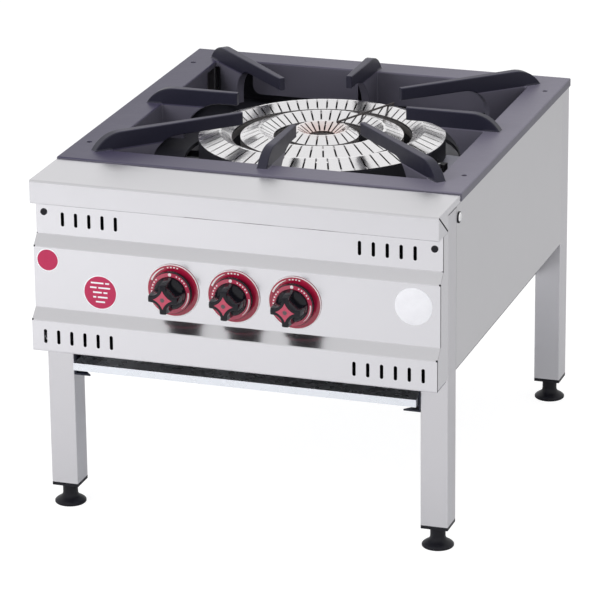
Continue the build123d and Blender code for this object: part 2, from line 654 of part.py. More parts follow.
def hanging_wall(distance, half, angle, notch_side):
    """A wall hanging from one edge of the well, with an opening beside its finger."""
    bottom = TOP_HEIGHT - WALL_DEPTH
    wall = block((-half, half), (distance, distance + WALL), (bottom, TOP_HEIGHT))
    wall = fillet(wall.edges().filter_by(Axis.Y).group_by(Axis.Z)[0], WALL_ROUND)
    beside = TIP_THICK / 2 + RUNNING
    notch_x = sorted((notch_side * beside, notch_side * (beside + NOTCH)))
    wall -= block(notch_x, (distance - 1, distance + WALL + 1), (bottom - 1, TOP_HEIGHT - NOTCH_TOP))
    return Pos(0, CENTRE_Y, 0) * Rot(0, 0, angle) * wall


def rim():
    """The flat rim with its outer lip and the opening of the well."""
    reach = HALF + TOP_OVERHANG
    top = Pos(0, CENTRE_Y, TOP_HEIGHT) * Box(2 * reach, TOP_DEPTH, LIP_DEPTH, align=HANGING)
    top = fillet(top.edges(), RIM_ROUND)
    under = Pos(0, CENTRE_Y, TOP_HEIGHT - RIM_THICKNESS)
    top -= under * Box(2 * (reach - LIP_WIDTH), TOP_DEPTH - 2 * LIP_WIDTH, LIP_DEPTH, align=HANGING)
    well = Pos(0, CENTRE_Y, TOP_HEIGHT) * Box(2 * WELL, 2 * WELL_Y, 4 * LIP_DEPTH)
    return top - fillet(well.edges().filter_by(Axis.Z), WELL_CORNER)


def edges_on_flat(top):
    """The edges that bound the flat of the cast top."""
    return top.edges().filter_by(lambda e: abs(e.center().Z - TOP_HEIGHT) < 0.01)


def cast_top():
    """The cast iron top: a rim, four hanging walls round the well, and eight fingers."""
    top = rim()
    walls = [
        (WELL_Y, WELL - WALL_INSET, 0, -1),
        (WELL, WELL_Y - WALL_INSET, 90, 1),
        (WELL_Y, WELL - WALL_INSET, 180, 1),
        (WELL, WELL_Y - WALL_INSET, 270, -1),
    ]
    for wall in walls:
        top += hanging_wall(*wall)
    inside = edges_on_flat(top).filter_by(lambda e: abs(e.center().X) < WELL + 1)
    inside = inside.filter_by(lambda e: abs(e.center().Y - CENTRE_Y) < WELL_Y + 1)
    top = fillet(inside, WELL_ROUND)
    for angle, well in ((0, WELL), (90, WELL_Y), (180, WELL), (270, WELL_Y)):
        top += finger(well, MID_CREST, MID_ARCH_START, MID_ARCH, well + WALL / 2, angle)
    corner = math.degrees(math.atan2(WELL_Y, WELL))
    leg_end = WELL_DIAGONAL - CORNER_LEG
    for angle in (corner, 180 - corner, 180 + corner, -corner):
        top += finger(WELL_DIAGONAL, CORNER_CREST, CORNER_ARCH_START, CORNER_ARCH, leg_end, angle)
    roots = edges_on_flat(top).filter_by(GeomType.CIRCLE, reverse=True)
    top = fillet(roots.filter_by(lambda e: e.length < RIM_WIDTH), ROOT_FILLET)
    for x, y in TOP_SCREWS:
        top -= rod((x, y, SEAT - 1), UP, TOP_SCREW_RADIUS, 2 * LIP_DEPTH)
    return top


def top_screw(x, y):
    """A slotted screw sunk in the cast top, down to the side rail."""
    top = TOP_HEIGHT - TOP_SCREW_SINK
    screw = rod((x, y, SEAT), UP, TOP_SCREW_RADIUS - RUNNING, LIP_DEPTH - TOP_SCREW_SINK)
    half = SCREW_SLOT / 2
    reach = TOP_SCREW_RADIUS + 1
    return screw - block((x - reach, x + reach), (y - half, y + half), (top - SCREW_SLOT, top + 1))


# ---------------------------------------------------------------- burner
def trough(ring):
    """One ring-shaped channel of the burner body, open at the top."""
    inner, _, outer = ring
    floor = BODY_FLOOR + TROUGH_WALL
    near = inner + TROUGH_WALL
    far = outer - TROUGH_WALL
    outside = [(inner, RING_SEAT), (inner, BODY_FLOOR), (outer, BODY_FLOOR), (outer, RING_SEAT)]
    return turned(outside + [(far, RING_SEAT), (far, floor), (near, floor), (near, RING_SEAT)])


def burner_body():
    """Three ring troughs joined by ribs, on four columns that stand on the burner bars."""
    body = trough(OUTER_RING) + trough(MIDDLE_RING) + trough(INNER_RING)
    for angle in (45, 135, 225, 315):
        for inside, outside in ((MIDDLE_RING, OUTER_RING), (INNER_RING, MIDDLE_RING)):
            reach = (inside[2] - TROUGH_WALL / 2, outside[0] + TROUGH_WALL / 2)
            rib = block(reach, (-RIB / 2, RIB / 2), (BODY_FLOOR, BODY_FLOOR + RIB_DEPTH))
            body += Rot(0, 0, angle) * rib
    body = Pos(0, CENTRE_Y, 0) * body
    height = BODY_FLOOR - BAR_TOP
    for x, y in COLUMNS:
        body += rod((x, y, BAR_TOP), UP, COLUMN_RADIUS, height + TROUGH_WALL / 2)
        body -= rod((x, y, BAR_TOP - 1), UP, BOLT_RADIUS, BOLT_LENGTH)
    for side, ring in FEED.items():
        x, y = feed_place(side, ring)
        body -= rod((x, y, BODY_FLOOR - 1), UP, NECK_RADIUS - TUBE_WALL, TROUGH_WALL + 2)
    return body


def feed_place(side, ring):
    """Where a mixing tube meets the trough that it feeds."""
    x = KNOB_X[side]
    middle = (ring[0] + ring[2]) / 2
    return x, CENTRE_Y - math.sqrt(middle**2 - x**2)


def ring_cap(ring, slits):
    """A roof-shaped ring with slits down both slopes."""
    inner, crown, outer = ring
    edge = RING_SEAT + RING_EDGE
    half = CROWN_FLAT / 2
    under = RING_SEAT + 0.2 * RING_EDGE
    outside = [(inner, RING_SEAT), (inner, edge), (crown - half, CROWN), (crown + half, CROWN), (outer, edge)]
    outside += [(outer, RING_SEAT), (outer - RING_WALL, RING_SEAT), (outer - RING_WALL, under)]
    inside = [(crown, CROWN - RING_WALL), (inner + RING_WALL, under), (inner + RING_WALL, RING_SEAT)]
    cap = turned(outside + inside)
    cuts = []
    for i in range(slits):
        angle = 360 / slits * (i + 0.5)
        for reach in ((inner - 1, crown - SLIT_CROWN), (crown + SLIT_CROWN, outer + 1)):
            cuts.append(Rot(0, 0, angle) * block(reach, (-SLIT / 2, SLIT / 2), (edge, CROWN + 1)))
    return Pos(0, CENTRE_Y, 0) * (cap - cuts)


def carry_bar():
    """The bar over the ring crowns that carries the flame from ring to ring."""
    z = CROWN + CARRY_RADIUS
    start = INNER_RING[1] - CROWN_FLAT
    end = OUTER_RING[1] + CARRY_REACH
    bar = rod((start, 0, z), RIGHT, CARRY_RADIUS, end - start)
    slope_start = OUTER_RING[1] + CROWN_FLAT / 2
    slope = (CROWN_HEIGHT - RING_EDGE) / (OUTER_RING[2] - slope_start)
    fall = slope * (end - 2 * CARRY_RADIUS - slope_start)
    bar += rod((end - CARRY_RADIUS, 0, z), DOWN, CARRY_RADIUS, CARRY_RADIUS + fall - GAP)
    return Pos(0, CENTRE_Y, 0) * Rot(0, 0, CARRY_ANGLE) * bar


def burner_bolt(x, y):
    """A bolt up through a burner bar into a column."""
    under = BAR_TOP - BAR_WALL
    shank = rod((x, y, under), UP, BOLT_RADIUS - RUNNING, BOLT_LENGTH)
    return shank + prism((x, y, under), DOWN, BOLT_HEAD_RADIUS, BOLT_HEAD)


def at_pilot(solid):
    """Turn a piece that was made along +X to where the pilot stands."""
    return Pos(0, CENTRE_Y, 0) * Rot(0, 0, PILOT_ANGLE) * solid


def pilot_burner():
    """The pilot on the plate of its bracket, whose tab is fixed to the wall of the outer trough."""
    wall = OUTER_RING[2]
    r = wall + PILOT_OUT
    half = PILOT_TAB / 2
    z = RING_SEAT - PILOT_DROP
    bracket = block((wall - PILOT_DROP, r + PILOT_RADIUS + PILOT_PLATE), PILOT_SPREAD, (z, z + PILOT_PLATE))
    bracket -= rod((0, 0, z - 1), UP, wall + GAP, PILOT_DROP)
    tab = block((wall - PILOT_PLATE, wall + PILOT_PLATE), (-half, half), (z, z + half))
    bracket += tab - rod((0, 0, z - 1), UP, wall, PILOT_DROP)
    stem = rod((r, 0, z + PILOT_HEAD[2] / 2 - PILOT_STEM), UP, PILOT_RADIUS, PILOT_STEM)
    head = Pos(r, 0, z + PILOT_PLATE / 2) * Box(*PILOT_HEAD, align=STANDING)
    return at_pilot(bracket + stem + head)


def thermocouple():
    """The thermocouple rod beside the pilot, with the collar that holds it to the bracket."""
    place = (OUTER_RING[2] + PILOT_OUT, -PROBE_OFFSET, RING_SEAT - PILOT_DROP + PILOT_PLATE)
    probe = rod(place, UP, PROBE_RADIUS, PROBE_LENGTH)
    return at_pilot(probe + rod(place, UP, PROBE_RADIUS + COLLAR_WIDTH, COLLAR_HEIGHT))


# ---------------------------------------------------------------- spill pan, tray and runners
def spill_pan():
    """The pan round the burner, hung by its flange on the upper rails."""
    side = RAIL_INSIDE - GAP
    front = RAIL + GAP
    rear = REAR_INSIDE - RAIL - GAP
    flange_x = HALF - FLANGE - GAP
    flange_top = FRAME_TOP + PAN_SHEET
    pan = block((-side, side), (front, rear), (PAN_FLOOR, flange_top))
    pan += block((-flange_x, flange_x), (FLANGE + GAP, REAR - FLANGE - GAP), (FRAME_TOP, flange_top))
    inside = (front + PAN_SHEET, rear - PAN_SHEET)
    pan -= block((PAN_SHEET - side, side - PAN_SHEET), inside, (PAN_FLOOR + PAN_SHEET, SEAT + 1))
    post = block((LEG_INSIDE - GAP, HALF), (REAR_LEG_FRONT - GAP, REAR), (PAN_FLOOR - 1, SEAT))
    for notch in both_sides(post):
        pan -= notch
    inner = PAN_LIP_RADIUS - PAN_SHEET
    opening = rod((0, CENTRE_Y, PAN_FLOOR), UP, inner, PAN_LIP_HEIGHT)
    pan += rod((0, CENTRE_Y, PAN_FLOOR), UP, PAN_LIP_RADIUS, PAN_LIP_HEIGHT)
    return pan - opening


def drip_tray():
    """The tray that slides out under the range."""
    side = LEG_INSIDE - RUNNER_WALL - TRAY_ROOM
    front = -LEG_FORWARD - TRAY_FORWARD
    rear = REAR - TRAY_SHORT
    tray = block((-side, side), (front, rear), (TRAY_BOTTOM, TRAY_BOTTOM + TRAY_HEIGHT))
    side -= TRAY_SHEET
    inside = (front + TRAY_SHEET, rear - TRAY_SHEET)
    return tray - block((-side, side), inside, (TRAY_BOTTOM + TRAY_SHEET, TRAY_BOTTOM + TRAY_HEIGHT + 1))


def runner():
    """The runner on the right legs: a strip, the ledge that the tray slides on, and a tab at the front."""
    front = -LEG_FORWARD + GAP
    run = (front, REAR)
    side = LEG_INSIDE - RUNNER_WALL
    low = TRAY_BOTTOM - RUNNER_FOOT
    strip = block((side, LEG_INSIDE), run, (low, low + RUNNER_FOOT + RUNNER))
    ledge = block((LEG_INSIDE - RUNNER, side), run, (TRAY_BOTTOM - RUNNER_WALL, TRAY_BOTTOM))
    tip = LEG_INSIDE - RUNNER_TAB
    corner = make_face(Polyline((tip, front), (side, front), (side, front + RUNNER_TAB), close=True))
    return [strip, ledge, Pos(0, 0, low) * extrude(corner, amount=RUNNER_WALL)]


# ---------------------------------------------------------------- gas supply
def manifold():
    """The rail that feeds the taps, closed at its left end."""
    length = INLET_X - MANIFOLD_LEFT - MANIFOLD_RADIUS
    tube = rod((MANIFOLD_LEFT, MANIFOLD_Y, MANIFOLD_Z), RIGHT, MANIFOLD_RADIUS, length)
    bore_start = MANIFOLD_LEFT + MANIFOLD_CAP
    tube -= rod((bore_start, MANIFOLD_Y, MANIFOLD_Z), RIGHT, MANIFOLD_RADIUS - MANIFOLD_WALL, length)
    for x in KNOB_X.values():
        tube -= rod((x, MANIFOLD_Y, MANIFOLD_Z), UP, TAP_BORE, 2 * MANIFOLD_RADIUS)
    return tube


def inlet_pipe():
    """Elbow, pipe to the rear and threaded inlet, with the nut that holds it in the back panel."""
    corner = (INLET_X, MANIFOLD_Y, MANIFOLD_Z)
    size = 2 * (MANIFOLD_RADIUS + ELBOW_WALL)
    elbow = Pos(*corner) * Box(size, size, size)
    pipe = fillet(elbow.edges(), ELBOW_WALL)
    pipe += rod(corner, BACK, MANIFOLD_RADIUS, REAR - MANIFOLD_Y)
    pipe += rod((INLET_X, REAR, MANIFOLD_Z), BACK, THREAD_RADIUS, THREAD_LENGTH)
    pipe += prism((INLET_X, REAR_INSIDE, MANIFOLD_Z), FORWARD, INLET_NUT, INLET_NUT_HEIGHT)
    socket = (INLET_X - size, MANIFOLD_Y, MANIFOLD_Z)
    pipe -= rod(socket, RIGHT, MANIFOLD_RADIUS + RUNNING, size - MANIFOLD_RADIUS)
    bore = MANIFOLD_RADIUS - MANIFOLD_WALL
    pipe -= Pos(*corner) * Sphere(bore + PIPE_WALL)
    pipe -= rod(corner, BACK, bore, INLET_END - MANIFOLD_Y + 1)
    return pipe - rod(socket, RIGHT, bore, size)


def mixing_tube(side, ring):
    """A mixing tube from its bell mouth to the trough, with a front plate that holds the injector."""
    x, end = feed_place(side, ring)
    bell_start = MOUTH_Y + TUBE_WALL
    start = bell_start + BELL_LENGTH
    reach = end + NECK_RADIUS - start
    solid = rod((x, MOUTH_Y, TUBE_Z), BACK, BELL_RADIUS, TUBE_WALL)
    solid += cone((x, bell_start, TUBE_Z), BACK, BELL_RADIUS, TUBE_RADIUS, BELL_LENGTH)
    solid += rod((x, start, TUBE_Z), BACK, TUBE_RADIUS, reach)
    solid += rod((x, end, TUBE_Z), UP, NECK_RADIUS, TUBE_DROP)
    bore = TUBE_RADIUS - TUBE_WALL
    solid -= cone((x, bell_start, TUBE_Z), BACK, BELL_RADIUS - TUBE_WALL, bore, BELL_LENGTH)
    solid -= rod((x, start - 1, TUBE_Z), BACK, bore, reach + 1 - TUBE_WALL)
    solid -= rod((x, end, TUBE_Z), UP, NECK_RADIUS - TUBE_WALL, TUBE_DROP + 1)
    solid -= rod((x, MOUTH_Y - 1, TUBE_Z), BACK, INJECTOR_SHANK + RUNNING, TUBE_WALL + 2)
    return solid - air_windows(x, MOUTH_Y, TUBE_WALL)


def air_windows(x, y, thickness):
    """The tools that cut the air windows round an injector."""
    tools = []
    for i in range(WINDOWS):
        turn = math.tau * i / WINDOWS + math.pi / 2
        centre = (x + WINDOW_CENTRE * math.cos(turn), y - 1, TUBE_Z + WINDOW_CENTRE * math.sin(turn))
        tools.append(rod(centre, BACK, WINDOW_RADIUS, thickness + 2))
    return tools


def injector(x):
    """A brass injector: nozzle in the bell, journal for the shutter, and hexagon on the pipe."""
    shank = TUBE_WALL + JOURNAL
    solid = rod((x, HEX_BACK, TUBE_Z), BACK, JOURNAL_RADIUS, JOURNAL)
    solid += rod((x, MOUTH_Y, TUBE_Z), BACK, INJECTOR_SHANK, shank)
    solid += cone((x, MOUTH_Y + shank, TUBE_Z), BACK, INJECTOR_SHANK, NOZZLE_RADIUS, NOZZLE_LENGTH)
    solid += prism((x, HEX_BACK, TUBE_Z), FORWARD, HEX_RADIUS, HEX_LENGTH)
    solid -= rod((x, HEX_FRONT - 1, TUBE_Z), BACK, INJECTOR_BORE, 3 * HEX_LENGTH)
    return solid - rod((x, HEX_FRONT - 1, TUBE_Z), BACK, PIPE_RADIUS + RUNNING, PIPE_SOCKET + 1)


def air_shutter(x):
    """The disc that turns on an injector's journal and covers the air windows."""
    front = MOUTH_Y - (JOURNAL + SHUTTER) / 2
    disc = rod((x, front, TUBE_Z), BACK, BELL_RADIUS, SHUTTER)
    tab_z = (TUBE_Z - BELL_RADIUS - SHUTTER_TAB, TUBE_Z - BELL_RADIUS + 1)
    disc += block((x - SHUTTER_TAB / 2, x + SHUTTER_TAB / 2), (front, front + SHUTTER), tab_z)
    disc -= rod((x, front - 1, TUBE_Z), BACK, JOURNAL_RADIUS + RUNNING, SHUTTER + 2)
    return disc - air_windows(x, front, SHUTTER)


def burner_pipe(x):
    """The pipe from a tap to its injector, as a round tube with two bends."""
    start = (x, TAP_END - PIPE_SOCKET + 1, KNOB_Z)
    end = (x, HEX_FRONT + PIPE_SOCKET - 1, TUBE_Z)
    turn = (start[1] + end[1]) / 2
    path = FilletPolyline(start, (x, turn, KNOB_Z), (x, turn, TUBE_Z), end, radius=PIPE_BEND)
    section = Plane(origin=start, z_dir=BACK) * (Circle(PIPE_RADIUS) - Circle(PIPE_RADIUS - PIPE_WALL))
    return sweep(section, path)


# ---------------------------------------------------------------- taps
def tap_body(x):
    """A gas tap's body, screwed into the manifold, with a tapered seat for its plug."""
    neck_top = (x, MANIFOLD_Y, KNOB_Z)
    body = rod((x, TAP_FRONT, KNOB_Z), BACK, TAP_RADIUS, TAP_LENGTH)
    body += rod((x, TAP_FRONT, KNOB_Z), BACK, BONNET_RADIUS, BONNET)
    body += rod(neck_top, DOWN, TAP_NECK, MANIFOLD_DROP - MANIFOLD_RADIUS / 2)
    body -= rod((x - TAP_RADIUS, MANIFOLD_Y, MANIFOLD_Z), RIGHT, MANIFOLD_RADIUS + RUNNING, 2 * TAP_RADIUS)
    body -= rod((x, TAP_FRONT - 1, KNOB_Z), BACK, PLUG_BIG + SPRING_WIRE, SPRING_CHAMBER + 1)
    big = PLUG_BIG + RUNNING
    body -= cone((x, PLUG_FRONT, KNOB_Z), BACK, big, PLUG_SMALL + RUNNING, PLUG_LENGTH)
    body -= rod((x, PLUG_BACK - 1, KNOB_Z), BACK, TAP_BORE, TAP_LENGTH)
    body -= rod((x, TAP_END - PIPE_SOCKET, KNOB_Z), BACK, PIPE_RADIUS + RUNNING, PIPE_SOCKET + 1)
    return body - rod(neck_top, DOWN, TAP_BORE, MANIFOLD_DROP)


def tap_bonnet(x):
    """The plate that closes a tap and bears on the back of the panel."""
    disc = rod((x, PANEL_BACK, KNOB_Z), BACK, BONNET_RADIUS, BONNET)
    return disc - rod((x, PANEL_BACK - 1, KNOB_Z), BACK, SPINDLE_RADIUS + RUNNING, BONNET + 2)


def tap_plug(x):
    """The tapered plug that turns in a tap, with a square socket for the spindle's tail."""
    half = TAIL / 2 + TAIL_ROOM
    socket_y = (PLUG_FRONT - 1, PLUG_FRONT + TAIL_IN_PLUG + KNOB_GAP)
    plug = cone((x, PLUG_FRONT, KNOB_Z), BACK, PLUG_BIG, PLUG_SMALL, PLUG_LENGTH)
    plug -= block((x - half, x + half), socket_y, (KNOB_Z - half, KNOB_Z + half))
    plug -= rod((x, socket_y[1] - 1, KNOB_Z), BACK, TAP_BORE, PLUG_LENGTH)
    return plug - rod((x, MANIFOLD_Y + TAP_BORE, KNOB_Z), RIGHT, PLUG_PORT, 2 * PLUG_BIG)


def tap_spindle(x):
    """A tap's spindle: a flatted end in the knob, a collar behind the bonnet and a square tail."""
    start = SKIRT_FRONT - SPINDLE_IN_GRIP
    shaft = rod((x, start, KNOB_Z), BACK, SPINDLE_RADIUS, COLLAR_FRONT - start)
    flat_z = (KNOB_Z + SPINDLE_RADIUS - SPINDLE_FLAT, KNOB_Z + SPINDLE_RADIUS + 1)
    shaft -= block((x - SPINDLE_RADIUS, x + SPINDLE_RADIUS), (start - 1, SKIRT_BACK), flat_z)
    shaft += rod((x, COLLAR_FRONT, KNOB_Z), BACK, COLLAR_RADIUS, COLLAR)
    half = TAIL / 2
    tail_y = (COLLAR_FRONT, PLUG_FRONT + TAIL_IN_PLUG)
    return shaft + block((x - half, x + half), tail_y, (KNOB_Z - half, KNOB_Z + half))


def tap_spring(x):
    """The spring between the spindle's collar and the plug."""
    start = COLLAR_FRONT + COLLAR + SPRING_WIRE + RUNNING
    height = PLUG_FRONT - SPRING_WIRE - RUNNING - start
    path = Helix(height / SPRING_TURNS, height, SPRING_RADIUS)
    coil = sweep(Plane(origin=path @ 0, z_dir=path % 0) * Circle(SPRING_WIRE), path)
    return Plane(origin=(x, start, KNOB_Z), z_dir=BACK) * coil


# ---------------------------------------------------------------- knobs
def lobed(x, y, radius, scallop, centre):
    """A disc facing the cook, with four round bites that leave a point up, down, left and right."""
    shape = Circle(radius)
    for angle in (45, 135, 225, 315):
        shape -= Rot(0, 0, angle) * Pos(centre, 0) * Circle(scallop)
    return Plane(origin=(x, y, KNOB_Z), x_dir=RIGHT, z_dir=FORWARD) * shape


def knob(x):
    """A round skirt with a four-pointed grip, hollow behind, on the spindle's flatted end."""
    back = (x, SKIRT_BACK, KNOB_Z)
    solid = rod(back, FORWARD, SKIRT_RADIUS, SKIRT_DEPTH)
    solid = fillet(solid.edges().group_by(Axis.Y)[0], SKIRT_ROUND)
    solid -= rod(back, FORWARD, SKIRT_RADIUS - SKIRT_WALL, SKIRT_DEPTH - SKIRT_WALL)
    solid += rod(back, FORWARD, SPINDLE_RADIUS + HUB_WALL, SKIRT_DEPTH)
    grip = lobed(x, SKIRT_FRONT + 1, GRIP_RADIUS, SCALLOP, SCALLOP_CENTRE)
    solid += extrude(grip, amount=GRIP_DEPTH + 1, taper=GRIP_TAPER)
    solid += cone((x, SKIRT_FRONT + 1, KNOB_Z), FORWARD, GRIP_RADIUS - GAP, DOME_END, DOME_DEPTH + 1)
    socket = rod(back, FORWARD, SPINDLE_RADIUS + RUNNING, SKIRT_DEPTH + SPINDLE_IN_GRIP + GAP)
    flat_z = KNOB_Z + SPINDLE_RADIUS - SPINDLE_FLAT + RUNNING
    reach = 2 * SPINDLE_RADIUS
    flat = block((x - reach, x + reach), (GRIP_FRONT, SKIRT_BACK), (flat_z, flat_z + reach))
    return solid - (socket - flat)


def knob_trim(x):
    """The coloured ring on the skirt and the star on the grip: two solids."""
    ring = rod((x, SKIRT_FRONT, KNOB_Z), FORWARD, SKIRT_RADIUS - TRIM_INSET, TRIM)
    ring -= rod((x, SKIRT_FRONT + 1, KNOB_Z), FORWARD, GRIP_RADIUS + GAP, TRIM + 2)
    return [ring, extrude(lobed(x, GRIP_FRONT, STAR_RADIUS, STAR_SCALLOP, STAR_CENTRE), amount=TRIM)]


def bezel(x):
    """The round plate behind a knob."""
    disc = rod((x, -PANEL_MID_SET, KNOB_Z), FORWARD, BEZEL_RADIUS, BEZEL)
    disc = fillet(disc.edges().group_by(Axis.Y)[0], BEZEL_ROUND)
    return disc - rod((x, 1 - PANEL_MID_SET, KNOB_Z), FORWARD, SPINDLE_RADIUS + SPINDLE_HOLE, BEZEL + 2)


# ---------------------------------------------------------------- the pieces
os.makedirs("parts", exist_ok=True)

for name, place in LEG_PLACES.items():
    save(f"leg_{name}", leg(place))
    save(f"levelling_foot_{name}", *levelling_foot(place))
save("leg_end_caps", *[end_cap(place) for place in LEG_PLACES.values()])
save("upper_frame_rails", *upper_rails())
save("lower_frame_rails", *lower_rails())
save("burner_support_bars", *[burner_bar(CENTRE_Y + y) for y in (-COLUMN_Y, COLUMN_Y)])
right_panel, left_panel = both_sides(side_panel())
save("side_panel_left", left_panel)
save("side_panel_right", right_panel)
save("back_panel", back_panel())
save("front_hood", hood())
save("control_panel", control_panel())
save("side_screws", *both_sides(side_screw()))
save("panel_plugs", *both_sides(panel_plug()))

save("cast_top", cast_top())
save("cast_top_screws", *[top_screw(x, y) for x, y in TOP_SCREWS])
save("spill_pan", spill_pan())
save("drip_tray", drip_tray())
save("drip_tray_runners", *[piece for strip in runner() for piece in both_sides(strip)])

save("burner_body", burner_body())
save("burner_ring_outer", ring_cap(OUTER_RING, OUTER_SLITS))
save("burner_ring_middle", ring_cap(MIDDLE_RING, MIDDLE_SLITS))
save("burner_ring_inner", ring_cap(INNER_RING, INNER_SLITS))
save("flame_carry_bar", carry_bar())
save("burner_bolts", *[burner_bolt(x, y) for x, y in COLUMNS])
save("pilot_burner", pilot_burner())
save("thermocouple", thermocouple())

save("gas_manifold", manifold())
save("gas_inlet_pipe", inlet_pipe())
save("mixing_tubes", *[mixing_tube(side, ring) for side, ring in FEED.items()])
save("gas_injectors", *[injector(x) for x in KNOB_X.values()])
save("burner_pipes", *[burner_pipe(x) for x in KNOB_X.values()])
save("tap_bonnets", *[tap_bonnet(x) for x in KNOB_X.values()])
save("knob_bezels", *[bezel(x) for x in KNOB_X.values()])
for name, x in KNOB_X.items():
    save(f"gas_tap_{name}", tap_body(x))
    save(f"tap_plug_{name}", tap_plug(x))
    save(f"tap_spring_{name}", tap_spring(x))
    save(f"tap_spindle_{name}", tap_spindle(x))
    save(f"knob_{name}", knob(x))
    save(f"knob_trim_{name}", *knob_trim(x))
    save(f"air_shutter_{name}", air_shutter(x))
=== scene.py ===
"""Looks of a stock pot range: finishes, knobs, printed marks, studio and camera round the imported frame.

Everything is in metres, in the frame's own axes: +X right, -Y the front with the knobs, +Z up.
"""

import logging
import math
from dataclasses import dataclass
from enum import Enum

import bmesh
import bpy
from bmesh.types import BMEdge, BMesh, BMFace, BMVert
from bpy.types import ColorRamp, Material, NodeSocket, Object, World
from mathutils import Matrix, Vector

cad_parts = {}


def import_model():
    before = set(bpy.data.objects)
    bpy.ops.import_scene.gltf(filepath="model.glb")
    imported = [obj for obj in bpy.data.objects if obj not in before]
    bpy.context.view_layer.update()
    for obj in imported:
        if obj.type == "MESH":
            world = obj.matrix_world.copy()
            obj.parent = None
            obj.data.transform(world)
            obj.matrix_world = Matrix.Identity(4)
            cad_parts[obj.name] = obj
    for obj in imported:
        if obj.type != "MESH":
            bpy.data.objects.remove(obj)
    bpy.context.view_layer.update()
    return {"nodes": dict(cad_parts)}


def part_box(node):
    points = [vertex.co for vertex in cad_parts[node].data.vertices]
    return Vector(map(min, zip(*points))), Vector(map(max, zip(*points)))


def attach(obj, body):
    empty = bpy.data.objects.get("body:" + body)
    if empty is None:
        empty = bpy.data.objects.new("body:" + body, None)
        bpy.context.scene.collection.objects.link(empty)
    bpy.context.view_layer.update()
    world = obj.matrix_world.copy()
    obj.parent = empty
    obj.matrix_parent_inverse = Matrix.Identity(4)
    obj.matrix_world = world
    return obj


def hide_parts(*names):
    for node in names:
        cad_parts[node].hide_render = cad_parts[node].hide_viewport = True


LOG = logging.getLogger("stock_pot_range")
MM = 0.001
SIDES = ("left", "centre", "right")
COAT_INDEX = 1.4  # refraction of the thin coat on cast iron
GRIT_SCALE = 650
LUMP_SCALE = 38

DISC_STEPS = 64
RING_STEPS = 96
LOBE_STEPS = 160
ARC_STEPS = 24
ROUND_STEPS = 3
SHARP_FROM = 40.0  # edges sharper than this many degrees stay sharp

Pair = tuple[float, float]
Colour = tuple[float, float, float]
Point = tuple[float, float, float]
Nodes = dict[str, Object]


class Grain(Enum):
    """The way a metal was brushed or drawn, with how far each axis is squeezed to make its strokes."""

    ACROSS = (0.012, 1.0, 1.0)
    DEEP = (1.0, 0.012, 1.0)
    UPRIGHT = (1.0, 1.0, 0.012)


# ---------------------------------------------------------------------------- node trees
class Signal:
    """A socket in a finish's node tree that takes part in arithmetic."""

    def __init__(self, tree: "NodeTree", socket: NodeSocket) -> None:
        """Wrap an output socket of a tree."""
        self.tree = tree
        self.socket = socket

    def _maths(self, operation: str, first: "Signal | float", second: "Signal | float") -> "Signal":
        """The result of one Math node on two values."""
        return self.tree.add("ShaderNodeMath", {"operation": operation}, {0: first, 1: second})

    def __add__(self, other: "Signal | float") -> "Signal":
        """Self plus other."""
        return self._maths("ADD", self, other)

    def __radd__(self, other: float) -> "Signal":
        """Other plus self."""
        return self._maths("ADD", other, self)

    def __sub__(self, other: "Signal | float") -> "Signal":
        """Self minus other."""
        return self._maths("SUBTRACT", self, other)

    def __rsub__(self, other: float) -> "Signal":
        """Other minus self."""
        return self._maths("SUBTRACT", other, self)

    def __mul__(self, other: "Signal | float") -> "Signal":
        """Self times other."""
        return self._maths("MULTIPLY", self, other)

    def __rmul__(self, other: float) -> "Signal":
        """Other times self."""
        return self._maths("MULTIPLY", other, self)


class NodeTree:
    """The node tree of a material or a world, with one method that adds a node of any kind."""

    def __init__(self, owner: Material | World) -> None:
        """Empty the tree of a material or a world.

        Args:
            owner: The material or the world.
        """
        owner.use_nodes = True
        self.nodes = owner.node_tree.nodes
        self.links = owner.node_tree.links
        self.nodes.clear()

    def add(
        self, kind: str, settings: dict | None = None, sockets: dict | None = None, out: int | str = 0
    ) -> Signal:
        """Add a node.

        Args:
            kind: The node's type.
            settings: Its properties, and "stops" for a colour ramp: pairs of place and grey or colour.
            sockets: Values, or signals to link, by input name or number.
            out: The output to return.

        Returns:
            The signal of that output.
        """
        node = self.nodes.new(kind)
        for key, value in (settings or {}).items():
            if key == "stops":
                self._set_stops(node.color_ramp, value)
            else:
                setattr(node, key, value)
        for key, value in (sockets or {}).items():
            if isinstance(value, Signal):
                self.links.new(value.socket, node.inputs[key])
            else:
                node.inputs[key].default_value = value
        return Signal(self, node.outputs[out]) if len(node.outputs) else Signal(self, None)

    @staticmethod
    def _set_stops(ramp: ColorRamp, stops: list) -> None:
        """Give a colour ramp its stops.

        Args:
            ramp: The ramp.
            stops: Pairs of place and grey value or colour.
        """
        while len(ramp.elements) < len(stops):
            ramp.elements.new(0.5)
        for element, (place, value) in zip(ramp.elements, stops):
            element.position = place
            colour = (value, value, value) if isinstance(value, float) else value
            element.color = (*colour, 1.0)


